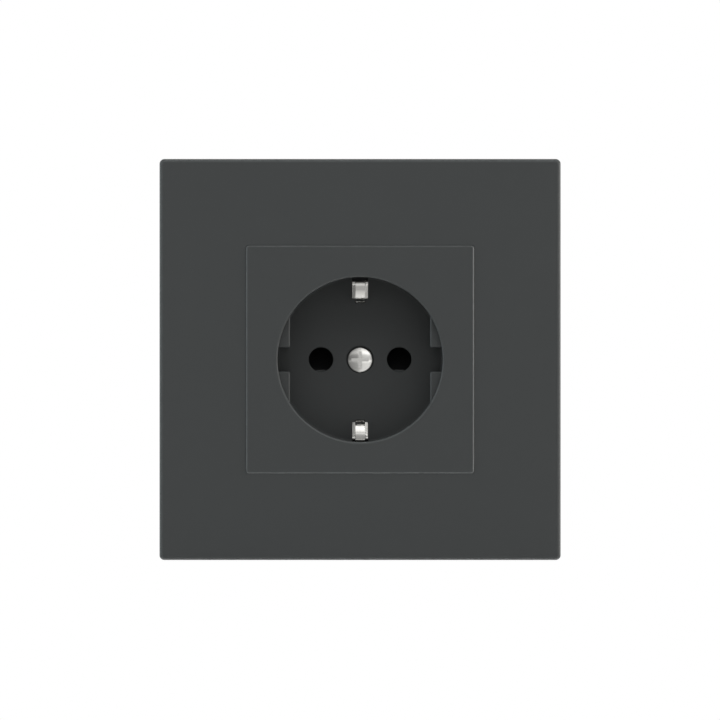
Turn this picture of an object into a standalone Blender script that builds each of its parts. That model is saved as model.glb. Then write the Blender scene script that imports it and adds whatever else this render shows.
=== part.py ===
"""Flush wall socket outlet: a square cover frame, a centre plate with a round well, and the insert behind.

Metres, +Z up. The front faces -Y and the wall's surface is the plane Y = 0.
The origin is the outlet's centre.
"""

import math

import bmesh
import bpy
from mathutils import Vector

# Clearances
SEAT_GAP = 0.0003
PLATE_GAP = 0.00015
BORE_GAP = 0.0006

# Cover frame
FRAME_SIDE = 0.0973
FRAME_DEPTH = 0.0092
FRAME_CORNER = 0.0012
FRAME_EDGE = 0.0008
FRAME_WALL = 0.0020
FRAME_PANEL = 0.0020
OPENING_EDGE = 0.0002
LEDGE_WIDTH = 0.0021
LEDGE_THICKNESS = 0.0018
COLLAR_WALL = 0.0015
FRAME_RIB = 0.0012
FRAME_RIB_DEPTH = 0.0030
FRAME_RIB_OFFSET = 0.0140
FRAME_STUD = 0.0043

# Centre plate and well
PLATE_SIDE = 0.05536
PLATE_CORNER = 0.0007
PLATE_EDGE = 0.0003
PLATE_THICKNESS = 0.0022
PLATE_STEP = 0.0003
PLATE_RIB = 0.0012
PLATE_RIB_DEPTH = 0.0040
PLATE_RIB_LENGTH = 0.0110
WELL_DIAMETER = 0.0400
WELL_DEPTH = 0.0175
WELL_EDGE = 0.00025
WELL_WALL = 0.0013
WELL_FLOOR = 0.0023
GUIDE_CHORD = 0.0340
GUIDE_SLOT = 0.0058
GUIDE_DROP = 0.0030
GUIDE_EDGE = 0.0003
PIN_DIAMETER = 0.0048
PIN_SPACING = 0.0190
PIN_HOLE = 0.00583
PIN_HOLE_EDGE = 0.00025
COUNTERBORE_DEPTH = 0.0012
COUNTERBORE_GAP = 0.00025

# Centre screw
SCREW_HEAD = 0.00597
SCREW_HEAD_HEIGHT = 0.0017
SCREW_DOME = 0.00062
SCREW_SHANK = 0.0030
SCREW_LENGTH = 0.0085
RECESS_LENGTH = 0.00427
RECESS_WIDTH = 0.00075
RECESS_DEPTH = 0.0010

# Earth contacts and strap
EARTH_STRIP = 0.00245
EARTH_RAIL = 0.00074
EARTH_RAIL_DROP = 0.00045
EARTH_THICKNESS = 0.0005
EARTH_BEND = 0.0007
EARTH_ROOT = 0.0058
EARTH_APEX = 0.0047
EARTH_CREST = 0.0014
EARTH_TIP = 0.00055
EARTH_APEX_DROP = 0.0049
EARTH_CREST_DROP = 0.0036
EARTH_TIP_DROP = 0.0040
EARTH_FOOT = 0.0043
EARTH_FOOT_WIDTH = 0.0052
EARTH_SLOT_GAP = 0.0006
EARTH_SLOT_SIDE = 0.0002
EARTH_SLOT_DROP = 0.0030
EARTH_SLOT_REACH = 0.0008
EARTH_SWING = 0.0012
STRAP_WIDTH = 0.0072
STRAP_THICKNESS = 0.0012
STRAP_BEND = 0.0014
STRAP_END = 0.0010
STAKE = 0.0016
STAKE_SETBACK = 0.0023

# Support ring and rivets
RING_SIDE = 0.0710
RING_CORNER = 0.0120
RING_THICKNESS = 0.0010
RING_LIP = 0.0025
RING_LIP_LENGTH = 0.0180
DEVICE_SPACING = 0.0600
DEVICE_SLOT_WIDTH = 0.0038
DEVICE_SLOT_LENGTH = 0.0090
RIVET_HEAD = 0.0050
RIVET_HEAD_HEIGHT = 0.0008
RIVET_SHANK = 0.0024
RIVET_LENGTH = 0.0075
STRAP_RIVET_HEAD = 0.0032
STRAP_RIVET_SHANK = 0.0018
STRAP_RIVET_LENGTH = 0.0070
STRAP_RIVET_SPACING = 0.0038
STRAP_RIVET_RISE = 0.0062

# Insert, contacts and terminals
BASE_FLAT = 0.0004
BASE_CORNER = 0.0050
BASE_EDGE = 0.0008
BASE_WALL = 0.0024
POST_REACH = 0.0048
CONTACT_THICKNESS = 0.0007
CONTACT_WIDTH = 0.0056
CONTACT_DEPTH = 0.0097
CONTACT_GRIP = 0.0004
CONTACT_FLARE = 0.0010
CONTACT_BEND = 0.0008
TERMINAL_INSET = 0.0014
TERMINAL_HEIGHT = 0.0092
CLAMP_THICKNESS = 0.0004
CLAMP_WIDTH = 0.0076
CLAMP_BEND = 0.0012
CLAMP_TONGUE = 0.0042
WIRE_HOLE = 0.0029
WIRE_FUNNEL = 0.0005
WIRE_SPACING = 0.0040
WIRE_OFFSET = 0.0019
BUTTON_WIDTH = 0.0050
BUTTON_HEIGHT = 0.0026
BUTTON_FLANGE = 0.0005
BUTTON_FLANGE_DEPTH = 0.0012
BUTTON_OFFSET = 0.0064
BUTTON_PROUD = 0.0006
BUTTON_TRAVEL = 0.0016
REAR_COVER_THICKNESS = 0.0020
SNAP_WIDTH = 0.0080
SNAP_THICKNESS = 0.0012
SNAP_LENGTH = 0.0085
SNAP_HOOK = 0.0009

# Safety shutter
BLADE_OVERLAP = 0.0003
BLADE_WIDTH = 0.0078
BLADE_EDGE = 0.0010
SHUTTER_CLEAR = 0.0002
SHUTTER_BAR = 0.0020
SHUTTER_BAR_THICKNESS = 0.0016
COIL_DIAMETER = 0.0025
COIL_WIRE = 0.0004
COIL_TURNS = 7
COIL_SOLID = 0.0050
LUG_THICKNESS = 0.0016

# Claws
CLAW_STANDOFF = 0.0032
CLAW_HEAD = 0.0054
CLAW_HEAD_HEIGHT = 0.0017
CLAW_SHANK = 0.0030
CLAW_SCREW_LENGTH = 0.0216
CLAW_SCREW_END = 0.0033
CLAW_SLOT_WIDTH = 0.0008
CLAW_NUT = 0.0046
CLAW_NUT_LENGTH = 0.0084
CLAW_TRUNNION = 0.0022
CLAW_THICKNESS = 0.0008
CLAW_EAR = 0.0050
CLAW_WEB = 0.0045
CLAW_LEAN = 0.0021
CLAW_LEAN_DEPTH = 0.0105
CLAW_HOOK = 0.0022
CLAW_HOOK_DEPTH = 0.0022
CLAW_NOTCH = 0.0044

# Smoothness
CORNER_STEPS = 5
EDGE_STEPS = 4
BEND_STEPS = 3
WELL_SEGMENTS = 96
BORE_SEGMENTS = 64
ROUND_SEGMENTS = 32
SMALL_SEGMENTS = 16
COIL_POINTS = 8

# Levels along Y, from the front to the back of the insert
FRAME_FRONT_Y = -FRAME_DEPTH
PANEL_BACK_Y = FRAME_FRONT_Y + FRAME_PANEL
FRONT_Y = FRAME_FRONT_Y - PLATE_STEP
PLATE_BACK_Y = FRONT_Y + PLATE_THICKNESS
LEDGE_Y = PLATE_BACK_Y + SEAT_GAP
LEDGE_BACK_Y = LEDGE_Y + LEDGE_THICKNESS
RING_FRONT_Y = -RING_THICKNESS
GUIDE_Y = FRONT_Y + GUIDE_DROP
FLOOR_Y = FRONT_Y + WELL_DEPTH
FLOOR_BACK_Y = FLOOR_Y + WELL_FLOOR
BASE_FRONT_Y = FLOOR_BACK_Y + SEAT_GAP
FOOT_FRONT_Y = BASE_FRONT_Y + SEAT_GAP
FOOT_BACK_Y = FOOT_FRONT_Y + EARTH_THICKNESS
STRAP_FRONT_Y = FOOT_BACK_Y + SEAT_GAP
STRAP_BACK_Y = STRAP_FRONT_Y + STRAP_THICKNESS
SHUTTER_FRONT_Y = STRAP_BACK_Y + SEAT_GAP
SHUTTER_BAR_BACK_Y = SHUTTER_FRONT_Y + SHUTTER_BAR_THICKNESS

# Shutter travel and the depth that its wedge blades need
BLADE_HALF = PIN_HOLE / 2 + BLADE_OVERLAP
SHUTTER_TRAVEL = PIN_DIAMETER / 2 + BLADE_HALF + SHUTTER_CLEAR
BLADE_BACK_Y = SHUTTER_FRONT_Y + SHUTTER_TRAVEL + BLADE_EDGE
CHAMBER_FRONT_Y = BLADE_BACK_Y + SEAT_GAP
TERMINAL_FRONT_Y = CHAMBER_FRONT_Y + TERMINAL_INSET
CONTACT_FRONT_Y = CHAMBER_FRONT_Y + SEAT_GAP
BASE_BACK_Y = CONTACT_FRONT_Y + CONTACT_DEPTH
COVER_FRONT_Y = BASE_BACK_Y + SEAT_GAP
COVER_BACK_Y = COVER_FRONT_Y + REAR_COVER_THICKNESS

# Radii and half widths
FRAME_HALF = FRAME_SIDE / 2
PLATE_HALF = PLATE_SIDE / 2
OPENING_HALF = PLATE_HALF + PLATE_GAP
LEDGE_HALF = OPENING_HALF - LEDGE_WIDTH
COLLAR_HALF = OPENING_HALF + COLLAR_WALL
WELL_RADIUS = WELL_DIAMETER / 2
CUP_RADIUS = WELL_RADIUS + WELL_WALL
BORE_RADIUS = CUP_RADIUS + BORE_GAP
BASE_HALF = BORE_RADIUS - BASE_FLAT
RING_HALF = RING_SIDE / 2
PIN_X = PIN_SPACING / 2
POST_OUTER = BASE_HALF - BASE_CORNER + BASE_CORNER * math.sqrt(0.5)
RIVET_OFFSET = (BORE_RADIUS * math.sqrt(0.5) + POST_OUTER) / 2
SCREW_BORE = SCREW_SHANK / 2 + SEAT_GAP
EARTH_ROOT_RADIUS = WELL_RADIUS - EARTH_ROOT
STRAP_REACH = EARTH_ROOT_RADIUS + STRAP_END
STAKE_RADIUS = EARTH_ROOT_RADIUS - STAKE_SETBACK
CONTACT_HALF = PIN_DIAMETER / 2 - CONTACT_GRIP + CONTACT_FLARE + CONTACT_THICKNESS
LIVE_FACE_Z = CONTACT_HALF + 2 * SEAT_GAP + BASE_WALL + CONTACT_THICKNESS
EARTH_FACE_Z = STRAP_THICKNESS - STRAP_REACH
CLAW_X = BASE_HALF + CLAW_STANDOFF
CLAW_SEAT_Y = RING_FRONT_Y - SEAT_GAP
CLAW_PIVOT_Y = CLAW_SEAT_Y + CLAW_SCREW_LENGTH - CLAW_SCREW_END
COIL_X = PIN_X + BLADE_WIDTH / 2 + SEAT_GAP + SEAT_GAP + COIL_DIAMETER / 2 + COIL_WIRE / 2
LUG_Y = BLADE_BACK_Y - BLADE_EDGE
COIL_TOP_Z = BLADE_HALF - LUG_THICKNESS - SEAT_GAP
COIL_LENGTH = SHUTTER_TRAVEL + COIL_SOLID

# The three terminals: name, centre x, height of the bar's clamping face and the bar's thickness
TERMINALS = (
    ("line", -PIN_X, LIVE_FACE_Z, CONTACT_THICKNESS),
    ("neutral", PIN_X, LIVE_FACE_Z, CONTACT_THICKNESS),
    ("earth", 0.0, EARTH_FACE_Z, STRAP_THICKNESS),
)


def make_material(name, colour, metallic, roughness):
    """A plain Principled material."""
    material = bpy.data.materials.new(name)
    material.use_nodes = True
    shader = material.node_tree.nodes["Principled BSDF"]
    shader.inputs["Base Color"].default_value = (*colour, 1.0)
    shader.inputs["Metallic"].default_value = metallic
    shader.inputs["Roughness"].default_value = roughness
    return material


def make_materials():
    """Every material of the outlet, by what it is."""
    return {
        "cover": make_material("cover_plastic", (0.056, 0.0595, 0.0595), 0.0, 0.55),
        "insert": make_material("insert_thermoset", (0.012, 0.012, 0.013), 0.0, 0.6),
        "steel": make_material("zinc_plated_steel", (0.58, 0.60, 0.62), 1.0, 0.38),
        "nickel": make_material("nickel_plated_steel", (0.72, 0.72, 0.70), 1.0, 0.22),
        "brass": make_material("brass", (0.72, 0.52, 0.24), 1.0, 0.3),
        "spring": make_material("spring_steel", (0.42, 0.43, 0.45), 1.0, 0.35),
        "button": make_material("button_plastic", (0.35, 0.36, 0.37), 0.0, 0.5),
    }


def add_object(name, body, material=None, origin=(0.0, 0.0, 0.0)):
    """Turn a body, built in world coordinates, into an object whose origin is at origin."""
    bmesh.ops.translate(body, verts=body.verts, vec=-Vector(origin))
    mesh = bpy.data.meshes.new(name)
    body.to_mesh(mesh)
    body.free()
    item = bpy.data.objects.new(name, mesh)
    item.location = origin
    bpy.context.scene.collection.objects.link(item)
    if material:
        mesh.materials.append(material)
    return item


def apply_bodies(target, operation, bodies):
    """Join bodies to target or cut them out of it, each by an exact Boolean."""
    for body in bodies:
        tool = add_object(f"{target.name}_tool_{len(target.modifiers)}", body)
        tool.hide_render = True
        tool.display_type = "WIRE"
        modifier = target.modifiers.new(operation.lower(), "BOOLEAN")
        modifier.operation = operation
        modifier.solver = "EXACT"
        modifier.object = tool


def join(target, *bodies):
    apply_bodies(target, "UNION", bodies)


def cut(target, *bodies):
    apply_bodies(target, "DIFFERENCE", bodies)


def loft(rings, closed=False):
    """Skin rings of equal length into one closed body; closed joins the last ring to the first."""
    body = bmesh.new()
    loops = [[body.verts.new(point) for point in ring] for ring in rings]
    pairs = list(zip(loops, loops[1:]))
    if closed:
        pairs.append((loops[-1], loops[0]))
    for near, far in pairs:
        for index in range(len(near)):
            after = (index + 1) % len(near)
            body.faces.new((near[index], near[after], far[after], far[index]))
    if not closed:
        body.faces.new(loops[0])
        body.faces.new(loops[-1])
    bmesh.ops.recalc_face_normals(body, faces=body.faces)
    return body


def facing(outline, y):
    """Points (x, z) of an outline at the depth y."""
    return [(x, y, z) for x, z in outline]


def prism_y(outline, start, end):
    return loft([facing(outline, start), facing(outline, end)])


def prism_x(outline, start, end):
    """Extrude an outline of (z, y) points along X."""
    return loft([[(x, y, z) for z, y in outline] for x in (start, end)])


def prism_z(outline, start, end):
    """Extrude an outline of (x, y) points along Z."""
    return loft([[(x, y, z) for x, y in outline] for z in (start, end)])


def box(x_range, y_range, z_range):
    (left, right), (low, high) = x_range, z_range
    return prism_y([(left, low), (right, low), (right, high), (left, high)], *y_range)


def rounded_rectangle(half_x, half_z, radius, steps=CORNER_STEPS):
    """Outline of a rectangle about the origin with round corners."""
    outline = []
    for quarter, (side_x, side_z) in enumerate(((1, 1), (-1, 1), (-1, -1), (1, -1))):
        for step in range(steps + 1):
            angle = math.pi / 2 * (quarter + step / steps)
            x = side_x * (half_x - radius) + radius * math.cos(angle)
            z = side_z * (half_z - radius) + radius * math.sin(angle)
            outline.append((x, z))
    return outline


def moved(outline, x, z):
    return [(u + x, v + z) for u, v in outline]


def circle(radius, segments, x=0.0, z=0.0):
    turns = (2 * math.pi * index / segments for index in range(segments))
    return [(x + radius * math.cos(turn), z + radius * math.sin(turn)) for turn in turns]


def turned_y(profile, segments, x=0.0, z=0.0):
    """Revolve (radius, y) points about a line along Y; both ends are capped flat."""
    return loft([facing(circle(radius, segments, x, z), y) for radius, y in profile])


def turned_z(profile, segments, x, y):
    """Revolve (radius, z) points about a line along Z; both ends are capped flat."""
    return loft([[(u, v, z) for u, v in circle(radius, segments, x, y)] for radius, z in profile])


def bent(corners, radius):
    """Path of a sheet-metal strip: straight runs joined by arcs, each limited by the runs beside it."""
    corners = [Vector(corner) for corner in corners]
    path = [corners[0]]
    for before, corner, after in zip(corners, corners[1:], corners[2:]):
        back = (before - corner).normalized()
        ahead = (after - corner).normalized()
        half = back.angle(ahead) / 2
        room = 0.45 * min((before - corner).length, (after - corner).length)
        reach = min(radius / math.tan(half), room)
        size = reach * math.tan(half)
        centre = corner + (back + ahead).normalized() * (size / math.sin(half))
        start = corner + back * reach - centre
        end = corner + ahead * reach - centre
        sweep = math.copysign(math.pi - 2 * half, start.x * end.y - start.y * end.x)
        for step in range(BEND_STEPS + 1):
            angle = sweep * step / BEND_STEPS
            turn_x = start.x * math.cos(angle) - start.y * math.sin(angle)
            turn_y = start.x * math.sin(angle) + start.y * math.cos(angle)
            path.append(centre + Vector((turn_x, turn_y)))
    path.append(corners[-1])
    return path


def path_normals(path):
    """A mitred normal at each point of a path."""
    normals = []
    for index, point in enumerate(path):
        back = point - path[index - 1] if index else path[1] - path[0]
        ahead = path[index + 1] - point if index + 1 < len(path) else back
        back = back.normalized()
        along = (back + ahead.normalized()).normalized()
        normals.append(Vector((-along.y, along.x)) / max(0.2, along.dot(back)))
    return normals


def sheet_outline(path, thickness):
    """Outline of a strip of sheet seen edge on."""
    offsets = [normal * (thickness / 2) for normal in path_normals(path)]
    near = [tuple(point + offset) for point, offset in zip(path, offsets)]
    far = [tuple(point - offset) for point, offset in zip(path, offsets)]
    return near + far[::-1]


def make_cover_frame(material):
    """Hollow square frame: one profile carried round, then ribs and studs behind."""
    profile = [(FRAME_HALF, 0.0)]
    for step in range(EDGE_STEPS + 1):
        angle = math.pi / 2 * step / EDGE_STEPS
        inset = FRAME_EDGE * (1 - math.cos(angle))
        profile.append((FRAME_HALF - inset, FRAME_FRONT_Y + FRAME_EDGE * (1 - math.sin(angle))))
    profile += [
        (OPENING_HALF + OPENING_EDGE, FRAME_FRONT_Y),
        (OPENING_HALF, FRAME_FRONT_Y + OPENING_EDGE),
        (OPENING_HALF, LEDGE_Y),
        (LEDGE_HALF, LEDGE_Y),
        (LEDGE_HALF, LEDGE_BACK_Y),
        (COLLAR_HALF, LEDGE_BACK_Y),
        (COLLAR_HALF, PANEL_BACK_Y),
        (FRAME_HALF - FRAME_WALL, PANEL_BACK_Y),
        (FRAME_HALF - FRAME_WALL, 0.0),
    ]
    rings = []
    for half, y in profile:
        radius = PLATE_CORNER
        if half > FRAME_HALF - FRAME_WALL:
            radius = FRAME_CORNER
        rings.append(facing(rounded_rectangle(half, half, radius), y))
    frame = add_object("cover_frame", loft(rings, closed=True), material)

    rib_start = COLLAR_HALF - COLLAR_WALL / 2
    rib_end = FRAME_HALF - FRAME_WALL / 2
    rib_y = (PANEL_BACK_Y - FRAME_PANEL / 2, PANEL_BACK_Y + FRAME_RIB_DEPTH)
    ribs = []
    for side in (-1, 1):
        reach = sorted((side * rib_start, side * rib_end))
        for place in (-FRAME_RIB_OFFSET, FRAME_RIB_OFFSET):
            width = (place - FRAME_RIB / 2, place + FRAME_RIB / 2)
            ribs += [box(reach, rib_y, width), box(width, rib_y, reach)]
    stud_inner = LEDGE_HALF + LEDGE_WIDTH / 3
    stud_y = (LEDGE_BACK_Y - LEDGE_THICKNESS / 2, RING_FRONT_Y - SEAT_GAP)
    for side_x in (-1, 1):
        for side_z in (-1, 1):
            span_x = sorted((side_x * stud_inner, side_x * (stud_inner + FRAME_STUD)))
            span_z = sorted((side_z * stud_inner, side_z * (stud_inner + FRAME_STUD)))
            ribs.append(box(span_x, stud_y, span_z))
    join(frame, *ribs)
    return frame


def guide_segment(side_x, side_z):
    """One of the well's four guide segments: the round wall cut by a chord and by the side slot."""
    embed = WELL_WALL / 2
    radius = WELL_RADIUS + embed
    rings = []
    for inset, y in ((GUIDE_EDGE, GUIDE_Y), (0.0, GUIDE_Y + GUIDE_EDGE), (0.0, FLOOR_Y + embed)):
        chord = GUIDE_CHORD / 2 + inset
        slot = GUIDE_SLOT / 2 + inset
        low = math.asin(slot / radius)
        high = math.acos(chord / radius)
        outline = [(side_x * chord, side_z * slot)]
        for step in range(9):
            angle = low + (high - low) * step / 8
            outline.append((side_x * radius * math.cos(angle), side_z * radius * math.sin(angle)))
        rings.append(facing(outline, y))
    return loft(rings)


def diagonal_rib(side_x, side_z):
    """Stiffening rib from the cup to a corner behind the centre plate."""
    along = Vector((side_x, side_z)).normalized()
    across = Vector((-along.y, along.x)) * (PLATE_RIB / 2)
    start = along * (CUP_RADIUS - WELL_WALL / 2)
    end = along * (CUP_RADIUS + PLATE_RIB_LENGTH)
    outline = [tuple(start - across), tuple(end - across), tuple(end + across), tuple(start + across)]
    return prism_y(outline, PLATE_BACK_Y - PLATE_THICKNESS / 2, PLATE_BACK_Y + PLATE_RIB_DEPTH)


def make_centre_plate(material):
    """Square plate and round cup in one moulding, with its guides, slots and holes."""
    rings = []
    for inset, y in ((PLATE_EDGE, FRONT_Y), (0.0, FRONT_Y + PLATE_EDGE), (0.0, PLATE_BACK_Y)):
        half = PLATE_HALF - inset
        rings.append(facing(rounded_rectangle(half, half, PLATE_CORNER), y))
    plate = add_object("centre_plate", loft(rings), material)
    cup = [(CUP_RADIUS, PLATE_BACK_Y - PLATE_THICKNESS / 2), (CUP_RADIUS, FLOOR_BACK_Y)]
    join(plate, turned_y(cup, WELL_SEGMENTS))
    beyond = WELL_EDGE
    well = [
        (WELL_RADIUS + WELL_EDGE + beyond, FRONT_Y - beyond),
        (WELL_RADIUS, FRONT_Y + WELL_EDGE),
        (WELL_RADIUS, FLOOR_Y),
    ]
    cut(plate, turned_y(well, WELL_SEGMENTS))
    corners = [(side_x, side_z) for side_x in (-1, 1) for side_z in (-1, 1)]
    join(plate, *[guide_segment(*corner) for corner in corners])
    join(plate, *[diagonal_rib(*corner) for corner in corners])

    hole = PIN_HOLE / 2
    for side in (-1, 1):
        beyond = PIN_HOLE_EDGE
        pin_hole = [
            (hole + PIN_HOLE_EDGE + beyond, FLOOR_Y - beyond),
            (hole, FLOOR_Y + PIN_HOLE_EDGE),
            (hole, FLOOR_BACK_Y + SEAT_GAP),
        ]
        cut(plate, turned_y(pin_hole, ROUND_SEGMENTS, side * PIN_X))
        half_slot = EARTH_STRIP / 2 + EARTH_RAIL + EARTH_SLOT_SIDE
        reach = sorted((side * (WELL_RADIUS - EARTH_SLOT_REACH), side * BORE_RADIUS))
        cut(plate, box((-half_slot, half_slot), (FRONT_Y + EARTH_SLOT_DROP, BASE_FRONT_Y), reach))
        half_slot = EARTH_STRIP / 2 + EARTH_SLOT_SIDE
        inner, outer = EARTH_ROOT_RADIUS - EARTH_SLOT_GAP, EARTH_ROOT_RADIUS + EARTH_SWING
        reach = sorted((side * inner, side * outer))
        cut(plate, box((-half_slot, half_slot), (FLOOR_Y - SEAT_GAP, BASE_FRONT_Y), reach))
    seat = FLOOR_Y + COUNTERBORE_DEPTH
    counterbore = SCREW_HEAD / 2 + COUNTERBORE_GAP
    screw_hole = [
        (counterbore, FLOOR_Y - COUNTERBORE_DEPTH),
        (counterbore, seat),
        (SCREW_BORE, seat),
        (SCREW_BORE, BASE_FRONT_Y),
    ]
    cut(plate, turned_y(screw_hole, ROUND_SEGMENTS))
    return plate


def make_centre_screw(material):
    """Domed screw with a cross recess, seated in the counterbore."""
    seat = FLOOR_Y + COUNTERBORE_DEPTH - SEAT_GAP
    top = seat - SCREW_HEAD_HEIGHT
    radius = SCREW_HEAD / 2
    sphere = (radius**2 + SCREW_DOME**2) / (2 * SCREW_DOME)
    profile = []
    for step in range(1, EDGE_STEPS + 2):
        angle = math.asin(radius / sphere) * step / (EDGE_STEPS + 1)
        profile.append((sphere * math.sin(angle), top + sphere * (1 - math.cos(angle))))
    shank = SCREW_SHANK / 2
    profile += [(radius, seat), (shank, seat), (shank, seat + SCREW_LENGTH)]
    screw = add_object("centre_screw", turned_y(profile, ROUND_SEGMENTS), material)
    arm = RECESS_LENGTH / 2
    half = RECESS_WIDTH / 2
    depth = (top - SCREW_DOME, top + RECESS_DEPTH)
    cut(screw, box((-arm, arm), depth, (-half, half)), box((-half, half), depth, (-arm, arm)))
    return screw


def make_support_ring(material):
    """Steel mounting ring with its screw slots and lips."""
    outline = rounded_rectangle(RING_HALF, RING_HALF, RING_CORNER)
    ring = add_object("support_ring", prism_y(outline, RING_FRONT_Y, 0.0), material)
    through = (RING_FRONT_Y - RING_THICKNESS, RING_THICKNESS)
    holes = [circle(BORE_RADIUS, BORE_SEGMENTS)]
    place = DEVICE_SPACING / 2
    width, length = DEVICE_SLOT_WIDTH / 2, DEVICE_SLOT_LENGTH / 2
    rivet = RIVET_SHANK / 2 + SEAT_GAP
    for side in (-1, 1):
        holes.append(moved(rounded_rectangle(width, length, width), side * place, 0.0))
        holes.append(moved(rounded_rectangle(length, width, width), 0.0, side * place))
        holes.append(circle(CLAW_SHANK / 2 + SEAT_GAP, SMALL_SEGMENTS, side * CLAW_X))
        for other in (-1, 1):
            holes.append(circle(rivet, SMALL_SEGMENTS, side * RIVET_OFFSET, other * RIVET_OFFSET))
    cut(ring, *[prism_y(hole, *through) for hole in holes])
    lip_y = (RING_FRONT_Y - RING_LIP, -RING_THICKNESS / 2)
    half = RING_LIP_LENGTH / 2
    inset = RING_THICKNESS / 20
    for side in (-1, 1):
        edge = sorted((side * (RING_HALF - inset), side * (RING_HALF - RING_THICKNESS)))
        join(ring, box(edge, lip_y, (-half, half)), box((-half, half), lip_y, edge))
    return ring


def rivet_body(x, z, front, head, head_height, shank, length):
    """Domed rivet whose head's underside is at front."""
    profile = [
        (head * 0.3, front - head_height),
        (head * 0.43, front - head_height * 0.7),
        (head / 2, front - head_height * 0.2),
        (head / 2, front),
        (shank / 2, front),
        (shank / 2, front + length),
    ]
    return turned_y(profile, SMALL_SEGMENTS, x, z)


def make_rivets(materials):
    """Four rivets of the ring and two of the earth strap."""
    front = RING_FRONT_Y - SEAT_GAP
    for side_x, name_x in ((-1, "left"), (1, "right")):
        for side_z, name_z in ((-1, "lower"), (1, "upper")):
            body = rivet_body(
                side_x * RIVET_OFFSET, side_z * RIVET_OFFSET, front,
                RIVET_HEAD, RIVET_HEAD_HEIGHT, RIVET_SHANK, RIVET_LENGTH,
            )
            add_object(f"ring_rivet_{name_z}_{name_x}", body, materials["steel"])
        body = rivet_body(
            side_x * STRAP_RIVET_SPACING / 2, STRAP_RIVET_RISE, STRAP_FRONT_Y - SEAT_GAP,
            STRAP_RIVET_HEAD, EARTH_THICKNESS, STRAP_RIVET_SHANK, STRAP_RIVET_LENGTH,
        )
        add_object(f"strap_rivet_{name_x}", body, materials["nickel"])


def make_earth_strap(material):
    """Earth bar behind the well, bent back at the bottom as the earth terminal's bar."""
    middle = (STRAP_FRONT_Y + STRAP_BACK_Y) / 2
    leg_z = STRAP_THICKNESS / 2 - STRAP_REACH
    path = bent([(STRAP_REACH, middle), (leg_z, middle), (leg_z, BASE_BACK_Y)], STRAP_BEND)
    half = STRAP_WIDTH / 2
    strap = add_object("earth_strap", prism_x(sheet_outline(path, STRAP_THICKNESS), -half, half), material)
    for side in (-1, 1):
        stake = [(STAKE / 2, FOOT_FRONT_Y - SEAT_GAP / 2), (STAKE / 2, middle)]
        join(strap, turned_y(stake, SMALL_SEGMENTS, 0.0, side * STAKE_RADIUS))
        rivet_x = side * STRAP_RIVET_SPACING / 2
        hole = circle(STRAP_RIVET_SHANK / 2 + SEAT_GAP, SMALL_SEGMENTS, rivet_x, STRAP_RIVET_RISE)
        cut(strap, prism_y(hole, FOOT_FRONT_Y, SHUTTER_FRONT_Y))
    cut(strap, prism_y(circle(SCREW_BORE, SMALL_SEGMENTS), FOOT_FRONT_Y, SHUTTER_FRONT_Y))
    return strap


def earth_rail(path, side_x, side_z):
    """Folded side rail of an earth contact, along its lead-in slope."""
    overlap = EARTH_RAIL / 5
    inner = side_x * (EARTH_STRIP / 2 - overlap)
    outer = side_x * (EARTH_STRIP / 2 + EARTH_RAIL)
    face = EARTH_THICKNESS / 2
    section = (
        (inner, face - overlap / 4),
        (outer, face - EARTH_RAIL_DROP),
        (outer, -face - EARTH_RAIL_DROP),
        (inner, -face + overlap / 4),
    )
    rings = []
    for point, normal in zip(path, path_normals(path)):
        if normal.y > 0:
            normal = -normal
        ring = []
        for x, rise in section:
            ring.append((x, point.y + normal.y * rise, side_z * (point.x + normal.x * rise)))
        rings.append(ring)
    return loft(rings)


def make_earth_spring(side, name, material):
    """Sprung earth contact: foot on the strap, arm through the floor, lead-in slope and rolled tip."""
    foot_y = (FOOT_FRONT_Y + FOOT_BACK_Y) / 2
    corners = [
        (EARTH_ROOT_RADIUS - EARTH_FOOT, foot_y),
        (EARTH_ROOT_RADIUS, foot_y),
        (WELL_RADIUS - EARTH_APEX, FRONT_Y + EARTH_APEX_DROP),
        (WELL_RADIUS - EARTH_CREST, FRONT_Y + EARTH_CREST_DROP),
        (WELL_RADIUS - EARTH_TIP, FRONT_Y + EARTH_TIP_DROP),
    ]
    path = bent(corners, EARTH_BEND)
    outline = [(side * radius, y) for radius, y in sheet_outline(path, EARTH_THICKNESS)]
    half = EARTH_STRIP / 2
    origin = (0.0, foot_y, side * EARTH_ROOT_RADIUS)
    spring = add_object(f"earth_spring_{name}", prism_x(outline, -half, half), material, origin)
    slope_start = 2 * (BEND_STEPS + 1)
    slope = path[slope_start:slope_start + 2]
    join(spring, earth_rail(slope, -1, side), earth_rail(slope, 1, side))
    inset = EARTH_THICKNESS / 20
    wide = EARTH_FOOT_WIDTH / 2
    edge = EARTH_ROOT_RADIUS - EARTH_FOOT + inset
    reach = sorted((side * edge, side * (EARTH_ROOT_RADIUS - EARTH_BEND)))
    join(spring, box((-wide, wide), (FOOT_FRONT_Y + inset, FOOT_BACK_Y - inset), reach))
    hole = circle(STAKE / 2 + SEAT_GAP, SMALL_SEGMENTS, 0.0, side * STAKE_RADIUS)
    cut(spring, prism_y(hole, BASE_FRONT_Y, STRAP_FRONT_Y))
    return spring


def terminal_chamber(centre, face, bar):
    """Space behind the insert for a terminal's bar, clamp spring and wires."""
    half = CLAMP_WIDTH / 2 + SEAT_GAP
    low = face - bar - SEAT_GAP
    high = face + TERMINAL_HEIGHT + CLAMP_THICKNESS / 2 + SEAT_GAP
    return box((centre - half, centre + half), (TERMINAL_FRONT_Y, COVER_BACK_Y), (low, high))


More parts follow.
